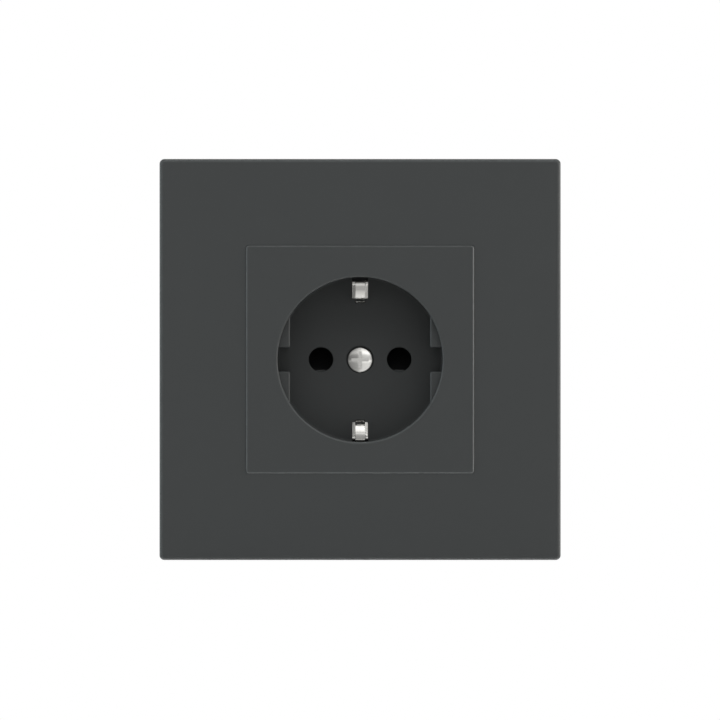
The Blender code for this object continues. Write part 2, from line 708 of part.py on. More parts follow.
def make_socket_base(material):
    """Insert moulding: corner posts round the cup, then pockets for strap, shutter, contacts and clamps."""
    rings = []
    for inset, y in ((0.0, SEAT_GAP), (0.0, BASE_BACK_Y - BASE_EDGE), (BASE_EDGE, BASE_BACK_Y)):
        half = BASE_HALF - inset
        rings.append(facing(rounded_rectangle(half, half, BASE_CORNER - inset), y))
    base = add_object("socket_base", loft(rings), material)
    cut(base, turned_y([(BORE_RADIUS, -RING_THICKNESS), (BORE_RADIUS, BASE_FRONT_Y)], BORE_SEGMENTS))
    window, past = RIVET_OFFSET - POST_REACH, BASE_HALF + BASE_EDGE
    front = (-RING_THICKNESS, BASE_FRONT_Y)
    cut(base, box((-window, window), front, (-past, past)))
    cut(base, box((-past, past), front, (-window, window)))

    before = FLOOR_BACK_Y
    strap_half = STRAP_WIDTH / 2 + SEAT_GAP
    strap_z = STRAP_REACH + SEAT_GAP
    leg_top = EARTH_FACE_Z + STRAP_BEND + SEAT_GAP
    cut(
        base,
        box((-strap_half, strap_half), (before, SHUTTER_FRONT_Y), (-strap_z, strap_z)),
        box((-strap_half, strap_half), (before, TERMINAL_FRONT_Y + SEAT_GAP), (-strap_z, leg_top)),
    )

    blade_half = BLADE_WIDTH / 2 + SEAT_GAP
    top = BLADE_HALF + SEAT_GAP
    bar_low = -PIN_DIAMETER / 2 - SHUTTER_BAR - SHUTTER_TRAVEL - SEAT_GAP
    blade_low = -BLADE_HALF - SHUTTER_TRAVEL - SEAT_GAP
    bar_back = SHUTTER_BAR_BACK_Y + SEAT_GAP
    cut(base, box((-PIN_X, PIN_X), (before, bar_back), (bar_low, top)))
    coil_half = COIL_DIAMETER / 2 + COIL_WIRE / 2 + SEAT_GAP
    coil_low = COIL_TOP_Z - COIL_LENGTH - SEAT_GAP
    for side in (-1, 1):
        blade = (side * PIN_X - blade_half, side * PIN_X + blade_half)
        cut(base, box(blade, (before, CHAMBER_FRONT_Y), (blade_low, top)))
        coil = sorted((side * PIN_X, side * (COIL_X + coil_half)))
        cut(base, box(coil, (before, LUG_Y + coil_half), (coil_low, top)))
        contact = (side * PIN_X - CONTACT_WIDTH / 2 - SEAT_GAP, side * PIN_X + CONTACT_WIDTH / 2 + SEAT_GAP)
        chamber = CONTACT_HALF + SEAT_GAP
        cut(base, box(contact, (BLADE_BACK_Y, COVER_BACK_Y), (-chamber, chamber)))
        link_y = BASE_BACK_Y - CONTACT_THICKNESS - CONTACT_BEND - SEAT_GAP
        cut(base, box(contact, (link_y, COVER_BACK_Y), (0.0, LIVE_FACE_Z)))
        for other in (-1, 1):
            rivet = RIVET_SHANK / 2 + SEAT_GAP
            hole = circle(rivet, SMALL_SEGMENTS, side * RIVET_OFFSET, other * RIVET_OFFSET)
            cut(base, prism_y(hole, -RING_THICKNESS, RIVET_LENGTH))
        rivet_x = side * STRAP_RIVET_SPACING / 2
        hole = circle(STRAP_RIVET_SHANK / 2 + SEAT_GAP, SMALL_SEGMENTS, rivet_x, STRAP_RIVET_RISE)
        cut(base, prism_y(hole, before, STRAP_FRONT_Y + STRAP_RIVET_LENGTH))
        notch = sorted((side * (BASE_HALF - SNAP_HOOK), side * (BASE_HALF + SNAP_THICKNESS)))
        hook_y = COVER_FRONT_Y - SNAP_LENGTH
        width = SNAP_WIDTH / 2 + SEAT_GAP
        hook_end = hook_y + SNAP_THICKNESS + SNAP_HOOK + SEAT_GAP
        cut(base, box((-width, width), (hook_y - SEAT_GAP, hook_end), notch))
    for _, centre, face, bar in TERMINALS:
        cut(base, terminal_chamber(centre, face, bar))
    screw_end = FLOOR_Y + COUNTERBORE_DEPTH + SCREW_LENGTH
    cut(base, prism_y(circle(SCREW_BORE, SMALL_SEGMENTS), before, screw_end))
    return base


def make_contact(name, centre, material):
    """Pin contact: two sprung leaves, and a link to the terminal's bar."""
    grip = PIN_DIAMETER / 2 - CONTACT_GRIP + CONTACT_THICKNESS / 2
    flare = grip + CONTACT_FLARE
    back = BASE_BACK_Y - CONTACT_THICKNESS / 2
    leaf = [
        (flare, CONTACT_FRONT_Y),
        (grip, CONTACT_FRONT_Y + CONTACT_DEPTH / 4),
        (flare, CONTACT_FRONT_Y + CONTACT_DEPTH * 2 / 3),
        (grip, back),
    ]
    bar_z = LIVE_FACE_Z - CONTACT_THICKNESS / 2
    lower = [(-z, y) for z, y in leaf] + [(bar_z, back), (bar_z, TERMINAL_FRONT_Y + SEAT_GAP)]
    half = CONTACT_WIDTH / 2
    sheet = sheet_outline(bent(lower, CONTACT_BEND), CONTACT_THICKNESS)
    contact = add_object(name, prism_x(sheet, centre - half, centre + half), material)
    upper = sheet_outline(bent(leaf, CONTACT_BEND), CONTACT_THICKNESS)
    inset = CONTACT_THICKNESS / 20
    join(contact, prism_x(upper, centre - half + inset, centre + half - inset))
    return contact


def make_clamp(name, centre, face, materials):
    """Clamp spring and release button of one terminal."""
    loop_y = TERMINAL_FRONT_Y + SEAT_GAP + CLAMP_THICKNESS / 2
    tip = face + SEAT_GAP + CLAMP_THICKNESS
    far = face + TERMINAL_HEIGHT
    corners = [
        (far, BASE_BACK_Y),
        (far, loop_y),
        (tip + CLAMP_TONGUE, loop_y),
        (tip, loop_y + CLAMP_TONGUE),
    ]
    half = CLAMP_WIDTH / 2
    sheet = sheet_outline(bent(corners, CLAMP_BEND), CLAMP_THICKNESS)
    add_object(f"clamp_spring_{name}", prism_x(sheet, centre - half, centre + half), materials["spring"])

    width, height = BUTTON_WIDTH / 2, BUTTON_HEIGHT / 2
    nose = loop_y + CLAMP_THICKNESS / 2 + SEAT_GAP + BUTTON_TRAVEL
    flange = BASE_BACK_Y - BUTTON_FLANGE_DEPTH
    sections = (
        (width - BUTTON_FLANGE, height - 2 * BUTTON_FLANGE, nose),
        (width, height - BUTTON_FLANGE / 2, flange),
        (width + BUTTON_FLANGE, height + BUTTON_FLANGE, flange),
        (width + BUTTON_FLANGE, height + BUTTON_FLANGE, BASE_BACK_Y),
        (width, height, BASE_BACK_Y),
        (width, height, COVER_BACK_Y + BUTTON_PROUD),
    )
    rings = []
    for half_x, half_z, y in sections:
        outline = rounded_rectangle(half_x, half_z, BUTTON_FLANGE / 2, 2)
        rings.append(facing(moved(outline, centre, face + BUTTON_OFFSET), y))
    origin = (centre, BASE_BACK_Y, face + BUTTON_OFFSET)
    add_object(f"release_button_{name}", loft(rings), materials["button"], origin)


def make_rear_cover(material):
    """Snap-on back with wire holes and button holes."""
    rings = []
    for inset, y in ((0.0, COVER_FRONT_Y), (0.0, COVER_BACK_Y - BASE_EDGE), (BASE_EDGE, COVER_BACK_Y)):
        half = BASE_HALF - inset
        rings.append(facing(rounded_rectangle(half, half, BASE_CORNER - inset), y))
    cover = add_object("rear_cover", loft(rings), material)
    inner = BASE_HALF + SEAT_GAP
    outer = inner + SNAP_THICKNESS
    hook = BASE_HALF - SNAP_HOOK + SEAT_GAP
    tip_y = COVER_FRONT_Y - SNAP_LENGTH
    middle = COVER_FRONT_Y + REAR_COVER_THICKNESS / 3
    deep = BASE_HALF - 2 * BASE_EDGE
    top_y = COVER_BACK_Y - BASE_EDGE - SEAT_GAP
    arm = [
        (deep, top_y), (outer, top_y), (outer, tip_y), (hook, tip_y + SNAP_THICKNESS),
        (inner, tip_y + SNAP_THICKNESS + SNAP_HOOK), (inner, middle), (deep, middle),
    ]
    half = SNAP_WIDTH / 2
    for side in (-1, 1):
        join(cover, prism_x([(side * z, y) for z, y in arm], -half, half))
    through = (BASE_BACK_Y, COVER_BACK_Y + SEAT_GAP)
    wire = WIRE_HOLE / 2
    funnel = [
        (wire, BASE_BACK_Y),
        (wire, COVER_BACK_Y - WIRE_FUNNEL),
        (wire + 2 * WIRE_FUNNEL, COVER_BACK_Y + WIRE_FUNNEL),
    ]
    for _, centre, face, _ in TERMINALS:
        for side in (-1, 1):
            wire_x = centre + side * WIRE_SPACING / 2
            cut(cover, turned_y(funnel, SMALL_SEGMENTS, wire_x, face + WIRE_OFFSET))
        window = rounded_rectangle(BUTTON_WIDTH / 2 + SEAT_GAP, BUTTON_HEIGHT / 2 + SEAT_GAP, SEAT_GAP, 2)
        cut(cover, prism_y(moved(window, centre, face + BUTTON_OFFSET), *through))
    return cover


def make_shutter(material):
    """Safety shutter: two wedge blades on a bar that runs behind the earth strap."""
    half = BLADE_WIDTH / 2
    low = -PIN_DIAMETER / 2 - SHUTTER_BAR
    bar = box((-PIN_X, PIN_X), (SHUTTER_FRONT_Y, SHUTTER_BAR_BACK_Y), (low, -PIN_DIAMETER / 2))
    shutter = add_object("shutter", bar, material)
    wedge = [
        (-BLADE_HALF, SHUTTER_FRONT_Y + SEAT_GAP),
        (BLADE_HALF, LUG_Y),
        (BLADE_HALF, BLADE_BACK_Y),
        (-BLADE_HALF, BLADE_BACK_Y),
    ]
    lug_half = COIL_DIAMETER / 2
    inset = BLADE_EDGE / 20
    for side in (-1, 1):
        centre = side * PIN_X
        join(shutter, prism_x(wedge, centre - half, centre + half))
        reach = sorted((centre + side * half / 2, side * (COIL_X + lug_half)))
        rise = (BLADE_HALF - LUG_THICKNESS, BLADE_HALF - inset)
        join(shutter, box(reach, (LUG_Y - lug_half / 2, BLADE_BACK_Y - inset), rise))
    return shutter


def make_shutter_spring(side, name, material):
    """Return coil below a lug of the shutter: one unbroken helix with flat end turns."""
    count = COIL_TURNS * COIL_POINTS
    radius = COIL_DIAMETER / 2
    top = COIL_TOP_Z - COIL_WIRE / 2
    run = COIL_LENGTH - COIL_WIRE
    pitch = run / COIL_TURNS
    print(f"{name}: least gap between turns {(pitch - COIL_WIRE) * 1000:.2f} mm")
    curve = bpy.data.curves.new(name, "CURVE")
    curve.dimensions = "3D"
    curve.bevel_depth = COIL_WIRE / 2
    curve.bevel_resolution = 1
    curve.use_fill_caps = True
    spline = curve.splines.new("POLY")
    spline.points.add(count)
    for index, point in enumerate(spline.points):
        angle = 2 * math.pi * index / COIL_POINTS
        x = side * (COIL_X + radius * math.cos(angle))
        point.co = (x, LUG_Y + radius * math.sin(angle), top - run * index / count, 1.0)
    coil = bpy.data.objects.new(name, curve)
    curve.materials.append(material)
    bpy.context.scene.collection.objects.link(coil)


def make_claw_set(side, name, materials):
    """Claw screw, barrel nut and claw of one side."""
    axis_x = side * CLAW_X
    seat = CLAW_SEAT_Y
    head, shank = CLAW_HEAD / 2, CLAW_SHANK / 2
    edge = CLAW_HEAD_HEIGHT / 5
    profile = [
        (head - edge, seat - CLAW_HEAD_HEIGHT),
        (head, seat - CLAW_HEAD_HEIGHT + edge),
        (head, seat),
        (shank, seat),
        (shank, seat + CLAW_SCREW_LENGTH - edge),
        (shank - edge, seat + CLAW_SCREW_LENGTH),
    ]
    screw = add_object(
        f"claw_screw_{name}", turned_y(profile, SMALL_SEGMENTS, axis_x),
        materials["steel"], (axis_x, seat, 0.0)
    )
    half = CLAW_SLOT_WIDTH / 2
    depth = (seat - 2 * CLAW_HEAD_HEIGHT, seat - CLAW_HEAD_HEIGHT / 2)
    cut(screw, box((axis_x - head - edge, axis_x + head + edge), depth, (-half, half)))

    origin = (axis_x, CLAW_PIVOT_Y, 0.0)
    barrel, trunnion = CLAW_NUT / 2, CLAW_TRUNNION / 2
    ear_inner = CLAW_NUT_LENGTH / 2 + SEAT_GAP
    ear_outer = ear_inner + CLAW_THICKNESS
    end = ear_outer + SEAT_GAP
    length = CLAW_NUT_LENGTH / 2
    profile = [
        (trunnion, -end), (trunnion, -length), (barrel, -length),
        (barrel, length), (trunnion, length), (trunnion, end),
    ]
    nut = add_object(
        f"claw_nut_{name}", turned_z(profile, SMALL_SEGMENTS, axis_x, CLAW_PIVOT_Y),
        materials["brass"], origin
    )
    bore = circle(shank + SEAT_GAP, SMALL_SEGMENTS, axis_x)
    cut(nut, prism_y(bore, CLAW_PIVOT_Y - CLAW_NUT, CLAW_PIVOT_Y + CLAW_NUT))

    web = barrel + SEAT_GAP + CLAW_THICKNESS / 2
    corners = [
        (web, -CLAW_EAR / 2),
        (web, CLAW_WEB),
        (web - CLAW_LEAN, CLAW_LEAN_DEPTH),
        (web - CLAW_LEAN + CLAW_HOOK, CLAW_LEAN_DEPTH + CLAW_HOOK_DEPTH),
    ]
    sheet = sheet_outline(bent(corners, CLAW_THICKNESS), CLAW_THICKNESS)
    outline = [(side * (CLAW_X + u), CLAW_PIVOT_Y + v) for u, v in sheet]
    inset = CLAW_THICKNESS / 10
    claw = add_object(
        f"claw_{name}", prism_z(outline, inset - ear_outer, ear_outer - inset), materials["steel"], origin
    )
    ear = [(web, -CLAW_EAR / 2 + inset), (web, CLAW_WEB - inset)]
    for step in range(9):
        angle = math.pi / 2 + math.pi * step / 8
        ear.append((CLAW_EAR / 2 * math.cos(angle), (CLAW_EAR / 2 - inset) * math.sin(angle)))
    outline = [(side * (CLAW_X + u), CLAW_PIVOT_Y + v) for u, v in ear]
    hole = circle(trunnion + SEAT_GAP, SMALL_SEGMENTS, axis_x, CLAW_PIVOT_Y)
    for way in (-1, 1):
        join(claw, prism_z(outline, way * ear_inner, way * ear_outer))
        cut(claw, prism_z(hole, way * length, way * end))
    notch_y = (CLAW_PIVOT_Y + CLAW_LEAN_DEPTH, CLAW_PIVOT_Y + 2 * CLAW_LEAN_DEPTH)
    notch_x = sorted((side * CLAW_X, side * (CLAW_X + 2 * web)))
    cut(claw, box(notch_x, notch_y, (-CLAW_NOTCH / 2, CLAW_NOTCH / 2)))


def main():
    for item in list(bpy.data.objects):
        bpy.data.objects.remove(item, do_unlink=True)
    materials = make_materials()
    make_cover_frame(materials["cover"])
    make_centre_plate(materials["cover"])
    make_centre_screw(materials["nickel"])
    make_support_ring(materials["steel"])
    make_rivets(materials)
    make_socket_base(materials["insert"])
    make_rear_cover(materials["insert"])
    make_earth_strap(materials["nickel"])
    make_earth_spring(1, "upper", materials["nickel"])
    make_earth_spring(-1, "lower", materials["nickel"])
    make_contact("line_contact", -PIN_X, materials["brass"])
    make_contact("neutral_contact", PIN_X, materials["brass"])
    for name, centre, face, _ in TERMINALS:
        make_clamp(name, centre, face, materials)
    make_shutter(materials["insert"])
    for side, name in ((-1, "left"), (1, "right")):
        make_shutter_spring(side, f"shutter_spring_{name}", materials["spring"])
        make_claw_set(side, name, materials)


main()
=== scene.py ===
"""Looks of a flush wall socket outlet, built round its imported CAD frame.

Metres, +Z up. The front faces -Y, the wall's surface is the plane Y = 0, and the outlet's centre is the
origin.
"""

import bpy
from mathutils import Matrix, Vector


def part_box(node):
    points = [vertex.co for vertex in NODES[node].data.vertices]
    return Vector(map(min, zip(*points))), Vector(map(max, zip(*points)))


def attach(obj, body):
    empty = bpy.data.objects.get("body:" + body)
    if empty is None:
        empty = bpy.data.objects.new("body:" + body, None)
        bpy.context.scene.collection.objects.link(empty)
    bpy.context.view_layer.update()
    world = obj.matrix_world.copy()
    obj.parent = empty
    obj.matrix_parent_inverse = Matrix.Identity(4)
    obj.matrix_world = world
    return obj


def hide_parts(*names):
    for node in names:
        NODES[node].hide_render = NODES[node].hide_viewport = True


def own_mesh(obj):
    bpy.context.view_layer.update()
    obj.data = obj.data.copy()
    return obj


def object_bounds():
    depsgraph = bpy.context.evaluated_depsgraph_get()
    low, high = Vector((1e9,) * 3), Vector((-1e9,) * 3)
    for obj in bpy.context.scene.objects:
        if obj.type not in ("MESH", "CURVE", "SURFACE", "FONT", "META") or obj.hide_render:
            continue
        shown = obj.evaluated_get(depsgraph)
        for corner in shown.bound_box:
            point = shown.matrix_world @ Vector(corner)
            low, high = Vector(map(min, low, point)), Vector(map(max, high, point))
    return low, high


bl_info = {
    "name": "Wall socket outlet",
    "version": (1, 0, 0),
    "blender": (4, 5, 0),
    "location": "View3D > Sidebar > Outlet",
    "description": "Dresses the packed wall socket outlet with surfaces, materials and a studio",
    "category": "Object",
}

import bmesh
import bpy
import numpy as np
from mathutils import Vector

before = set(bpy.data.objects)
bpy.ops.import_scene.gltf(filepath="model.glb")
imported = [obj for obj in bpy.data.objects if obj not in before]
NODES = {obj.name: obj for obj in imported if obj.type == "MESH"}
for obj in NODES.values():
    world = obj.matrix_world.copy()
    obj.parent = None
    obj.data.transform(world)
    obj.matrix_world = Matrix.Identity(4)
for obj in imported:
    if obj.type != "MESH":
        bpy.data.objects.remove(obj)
CAD_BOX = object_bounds()

# Places read from the frame
FRAME_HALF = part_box("cover_frame")[1].x
FRONT_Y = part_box("centre_plate")[0].y
PLATE_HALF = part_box("centre_plate")[1].x
FLOOR_BACK_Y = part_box("centre_plate")[1].y
HEAD_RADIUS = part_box("centre_screw")[1].x
HEAD_TOP_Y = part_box("centre_screw")[0].y
SCREW_END_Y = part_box("centre_screw")[1].y
CLAW_X = (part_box("claw_screw_right")[0].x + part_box("claw_screw_right")[1].x) / 2
CLAW_HEAD_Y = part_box("claw_screw_right")[0].y
CLAW_END_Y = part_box("claw_screw_right")[1].y
CLAW_HEAD_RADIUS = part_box("claw_screw_right")[1].x - CLAW_X
FOOT_BACK_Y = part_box("earth_spring_upper")[1].y
FOOT_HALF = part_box("earth_spring_upper")[1].x
FOOT_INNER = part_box("earth_spring_upper")[0].z

# Earth contacts: lengths along a lip and a rail (metres), directions there (degrees from inwards)
LIP_STATIONS = np.array([0.0, 0.35, 0.62, 0.67, 1.0, 1.75, 2.38, 3.98, 4.18, 4.38, 4.53]) / 1000
LIP_ANGLES = (-50, -22, 0, 1.5, 3.2, 11, 21.5, 28, 43, 62, 86)
RAIL_STATIONS = np.array([0.0, 0.3, 0.5, 0.72, 0.8, 1.05, 1.15]) / 1000
RAIL_ANGLES = (-45, -20, -3.2, -1.5, 1.5, 3.2, 20)
RAIL_SLOPE = np.radians(20)

# Where the rails begin and end to lean outwards, from their tips, and how steeply they lean
LEAN_STATIONS = np.array([0.98, 1.12]) / 1000
RAIL_LEAN = 0.45

# Slope of the bend in a contact's arm from the well's floor, and the arm's bends in sheet thicknesses
SHELF_SLOPE = np.radians(37)
SHELF_BEND = 0.55
ROOT_BEND = 1.4

# Edge wear with painted highlight: how much each edge is lightened, then the factors that change the
# painted highlight side by side as the light falls: frame's right side, frame's lower side, plate's
# right and lower sides, lower side of the well's rim
FRAME_WEAR_AND_HIGHLIGHT = 0.55
PLATE_WEAR_AND_HIGHLIGHT = 0.7
RIM_WEAR_AND_HIGHLIGHT = 0.2
GUIDE_WEAR_AND_HIGHLIGHT = 0.4
FRAME_RIGHT_HIGHLIGHT = 0.7
FRAME_LOWER_HIGHLIGHT = 0.5
PLATE_LOWER_HIGHLIGHT = 2.1
RIM_LOWER_HIGHLIGHT = 3.75

# Angles between faces: smooth on most pieces, smooth on the contacts, rounded edges, merged faces
CREASE = np.radians(40)
STRIP_CREASE = np.radians(12)
BEVEL_ANGLE = np.radians(35)
MERGE_ANGLE = np.radians(1)

# Distance at which a CAD node's points merge, steps of a rounded edge, shortest run with a direction
MERGE_DISTANCE = 1e-6
BEVEL_SEGMENTS = 2
SHORTEST_RUN = 1e-9

# Corner of a guide, in roundings of its edge
GUIDE_CORNER = 1.2

# Narrowing of the cross in the screw's head towards its floor, along and across its arms
CROSS_LENGTH_TAPER = np.array([1.0, 1.0, 0.97])
CROSS_WIDTH_TAPER = np.array([1.0, 1.0, 0.95])

# Depth of the nubs in the left and right pin holes, in roundings of the holes
NUB_DROPS = ((-1, 4.0), (1, 1.5))

# A rivet's dome against its head, and the end of its shank against the shank
RIVET_DOME = 0.85
RIVET_TAPER = 0.8

# First angles of arcs: the mouth of a hole, the screw's dome, a rivet's dome
HOLE_START = 0.15
DOME_START = 0.02
RIVET_START = 0.05

# Shared effects: sockets that hold vectors, slow tone's scale over the grain's, scales of rubbing with
# painted edge highlight, bloom
VECTOR_SOCKETS = ("Vector", "Stretch")
SLOW_GRAIN = 0.02
RUB_AND_HIGHLIGHT_SCALE = 900.0
BLOOM_SCALE = 260.0

# Plastic: share of the rubbing and painted edge highlight that shows, its lighter tint against the
# colour, and the contrast of the tone
RUB_AND_HIGHLIGHT_SHARE = 0.8
RUB_AND_HIGHLIGHT_TINT = 2.1
PLASTIC_CONTRAST = 0.02

# Handling films: scale and change of the roughness, on plastic and on metal
PLASTIC_FILM = (70.0, -0.05)
METAL_FILM = (140.0, 0.08)

# Strength of the bump on plastic and on metal
PLASTIC_BUMP = 0.35
METAL_BUMP = 0.3

# Fineness of the grids
EDGE_STEPS = 6
CORNER_STEPS = 10
STRIP_STEPS = 3
BEND_STEPS = 14
RING_COLUMNS = 96
WELL_COLUMNS = 240
GUIDE_COLUMNS = 24
THREAD_COLUMNS = 32
THREAD_ROWS = 8
DOME_ROWS = 24
RIVET_ROWS = 12
LIP_POINTS = 120
RAIL_POINTS = 60
RAIL_END_POINTS = 12
COIL_TURNS = 7
COIL_STEPS = 28
COIL_COLUMNS = 10

# Columns added round each corner of the plate, in radians from its diagonal
CORNER_COLUMNS = np.radians(np.linspace(-1.8, 1.8, 17))

WHITE = (1.0, 1.0, 1.0, 1.0)

# Lights: name, place, setting of the power, factor on it, width and height, tint, seen in reflections
LIGHTS = (
    ("Key", (0.0, -2.18, 2.03), "key_power", 1.0, (2.2, 1.4), (1.0, 1.0, 1.0), False),
    ("Left", (-1.4, -0.45, 0.1), "side_power", 0.85, (0.7, 0.7), (0.82, 0.93, 1.0), True),
    ("Right", (1.5, -0.25, 0.0), "side_power", 1.9, (0.7, 0.7), (1.0, 0.97, 0.93), True),
    ("Front", (0.0, -2.6, 0.2), "front_power", 1.0, (2.0, 2.0), (1.0, 1.0, 1.0), False),
)

# The card that the metal reflects: half width, place, heights, highest brightness, and the stops (place,
# brightness) across it and up it
CARD_HALF = 8.0
CARD_Y = -2.6
CARD_HEIGHTS = (-5.0, 14.0)
CARD_TOP = 5
CARD_ACROSS = (
    (-4.0, 0.22), (-2.0, 0.48), (-0.6, 0.62), (0.0, 1.0),
    (0.6, 1.4), (1.9, 1.6), (2.6, 1.05), (4.0, 0.5),
)
CARD_UP = (
    (-3.7, 2.4), (-3.27, 2.2), (-2.84, 1.85), (-2.42, 1.48), (-1.75, 1.13), (-0.42, 1.11), (-0.3, 2.2),
    (-0.1, 2.2), (-0.02, 0.6), (0.3, 0.85), (0.95, 1.0), (1.16, 1.9), (1.5, 2.3), (1.8, 2.1),
    (2.05, 1.35), (2.35, 1.35), (2.6, 3.9), (3.2, 3.9), (3.4, 4.8), (3.75, 4.8), (4.1, 0.5),
)

# Cards above and below: name, height and strength, then the half width and the depths of both
LEVEL_CARDS = (("card_above", 1.5, 4.9), ("card_below", -1.5, 9.0))
LEVEL_CARD_HALF = 2.0
LEVEL_CARD_DEPTHS = (-0.2, 0.4)

# Floor and camera
FLOOR_HALF = 3.0
FLOOR_SCALE = 3.0
FLOOR_TINT = (0.9, 0.9, 0.89)
FLOOR_CONTRAST = 0.02
FLOOR_ROUGHNESS = 0.8
CAMERA_Y = -0.6


def srgb(red, green, blue):
    """Linear colour of an 8-bit screen colour."""
    level = np.array([red, green, blue]) / 255
    linear = np.where(level <= 0.04045, level / 12.92, ((level + 0.055) / 1.055) ** 2.4)
    return tuple(float(value) for value in linear)


def number(**kind):
    """Maker of one kind of number that the user may change."""

    def make(name, description, default):
        return bpy.props.FloatProperty(name=name, description=description, default=default, **kind)

    return make


length = number(min=0.0, unit="LENGTH", subtype="DISTANCE", precision=5)
shift = number(unit="LENGTH", subtype="DISTANCE", precision=6)
power = number(min=0.0, unit="POWER")
share = number(min=0.0, max=1.0, subtype="FACTOR")


def colour(name, description, default):
    """A colour that the user may change."""
    return bpy.props.FloatVectorProperty(
        name=name, description=description, default=default, min=0.0, max=1.0, size=3, subtype="COLOR"
    )


class OutletSizes(bpy.types.PropertyGroup):
    """Sizes of the pieces that are made new."""

    soft_edge: length("Soft edge", "Rounding of an edge that isn't drawn out", 0.00012)
    fine_edge: length("Fine edge", "Rounding of pieces whose steps are too low for more", 0.000015)
    seat_gap: length("Seat gap", "Gap between pieces that rest on each other", 0.0003)
    frame_edge: length("Frame edge", "Rounding of the frame's front edge", 0.0007)
    frame_corner: length("Frame corner", "Corner radius of the frame seen from the front", 0.0012)
    frame_wall: length("Frame wall", "Wall of the frame's sides", 0.0020)
    frame_panel: length("Frame panel", "Thickness of the frame's front", 0.0020)
    frame_rib: length("Frame rib", "Thickness of the ribs behind the frame", 0.0012)
    frame_rib_depth: length("Frame rib depth", "How far a rib stands behind the frame's front", 0.0030)
    frame_rib_offset: length("Frame rib offset", "Place of a rib from the middle of its side", 0.0140)
    frame_stud: length("Frame stud", "Width of the studs behind the frame's opening", 0.0043)
    stud_end: length("Stud end", "How far in front of the wall the studs end", 0.0013)
    ledge_width: length("Ledge width", "Width of the ledge that the centre plate lies on", 0.0021)
    ledge_thickness: length("Ledge thickness", "Thickness of that ledge", 0.0018)
    collar_wall: length("Collar wall", "Wall round the frame's opening", 0.0015)
    plate_gap: length("Plate gap", "Gap between the centre plate and the frame", 0.00004)
    plate_step: length("Plate step", "How far the centre plate stands in front of the frame", 0.0003)
    plate_corner: length("Plate corner", "Corner radius of the centre plate", 0.0007)
    plate_edge: length("Plate edge", "Width of the bevel round the centre plate's front", 0.00026)
    plate_thickness: length("Plate thickness", "Thickness of the centre plate", 0.0022)
    plate_rib: length("Plate rib", "Thickness of the ribs behind the centre plate", 0.0012)
    plate_rib_depth: length("Plate rib depth", "Depth of these ribs", 0.0040)
    plate_rib_length: length("Plate rib length", "Length of these ribs outside the cup", 0.0110)
    well_diameter: length("Well diameter", "Diameter of the round well", 0.0400)
    well_edge: length("Well edge", "Rounding of the well's rim", 0.0004)
    well_fillet: length("Well fillet", "Hollow rounding at the well's floor", 0.0004)
    well_wall: length("Well wall", "Wall of the cup round the well", 0.0013)
    well_floor: length("Well floor", "Thickness of the well's floor", 0.0023)
    guide_chord: length("Guide chord", "Distance between the flat faces of the guides", 0.0340)
    guide_slot: length("Guide slot", "Height of the slot between two guides", 0.0058)
    guide_drop: length("Guide drop", "Depth of the guides' front below the rim", 0.0030)
    guide_edge: length("Guide edge", "Rounding of the guides' edges", 0.0004)
    pin_spacing: length("Pin spacing", "Distance between the pin holes", 0.0190)
    pin_hole: length("Pin hole", "Diameter of a pin hole", 0.00583)
    hole_edge: length("Hole edge", "Rounding of the holes in the floor", 0.00022)
    nub_width: length("Nub width", "Width of the nub at the bottom of a pin hole", 0.0022)
    nub_height: length("Nub height", "Height of that nub", 0.00042)
    recess_gap: length("Recess gap", "Gap round the screw's head", 0.00025)
    recess_depth: length("Recess depth", "Depth of the recess for the screw's head", 0.0012)
    screw_shank: length("Screw shank", "Diameter of the centre screw's shank", 0.0030)
    screw_dome: length("Screw dome", "Height of the centre screw's dome", 0.00062)
    screw_sag: length("Screw sag", "How far the centre screw sits below the well's middle", 0.0001)
    head_height: length("Head height", "Height of the centre screw's head", 0.0017)
    cross_length: length("Cross length", "Length of the cross in the screw", 0.00427)
    cross_width: length("Cross width", "Width of the cross in the screw", 0.00075)
    cross_depth: length("Cross depth", "Depth of the cross in the screw", 0.0010)
    thread_pitch: length("Thread pitch", "Pitch of the screws' threads", 0.0005)
    thread_depth: length("Thread depth", "Depth of the screws' threads", 0.00028)
    claw_head_height: length("Claw head height", "Height of the claw screws' heads", 0.0017)
    claw_slot: length("Claw slot", "Width of the slot in the claw screws", 0.0008)
    earth_strip: length("Earth strip", "Width of an earth contact's middle strip", 0.00245)
    earth_rail: length("Earth rail", "Width of an earth contact's side rails", 0.00074)
    earth_thickness: length("Earth thickness", "Sheet thickness of an earth contact", 0.0005)
    earth_root: length("Earth root", "Place of an earth contact's root inside the wall", 0.0058)
    earth_reach: length("Earth reach", "Reach of an earth contact's rails into the well", 0.00487)
    earth_tip: length("Earth tip", "Place of a contact's rolled tip inside the wall", 0.00055)
    earth_rail_tip: length("Earth rail tip", "Place of the rails' rolled tips inside the wall", 0.0007)
    earth_tip_drop: length("Earth tip drop", "Depth of these tips below the rim", 0.00395)
    earth_shelf: length("Earth shelf", "Place of the bend in a contact's arm inside the wall", 0.0052)
    earth_shelf_length: length("Earth shelf length", "Length of that bend, seen from the front", 0.0007)
    earth_shelf_lift: length("Earth shelf lift", "How far that bend stands off the well's floor", 0.0002)
    earth_gap: length("Earth gap", "Gap between a contact and the sides of its slot", 0.00003)
    earth_slot_drop: length("Earth slot drop", "Depth of the wall's slots for the contacts", 0.0030)
    earth_slot_reach: length("Earth slot reach", "How far these slots reach into the floor", 0.0008)
    earth_swing: length("Earth swing", "Room for an earth contact's arm in the floor", 0.0012)
    earth_sag: length("Earth sag", "How far both contacts' strips sit below the well's middle", 0.00047)
    rail_sag: length("Rail sag", "How far both contacts' rails sit below the well's middle", 0.0002)
    slide_gap: length("Slide gap", "Gap at the ends of the shutter's bar", 0.00005)
    coil_wire: length("Coil wire", "Wire diameter of the shutter's coils", 0.0004)
    rivet_head: length("Rivet head", "Height of the heads of the ring's rivets", 0.0008)
    ring_shank: length("Ring shank", "Radius of the shanks of the ring's rivets", 0.0012)
    strap_shank: length("Strap shank", "Radius of the shanks of the strap's rivets", 0.0009)


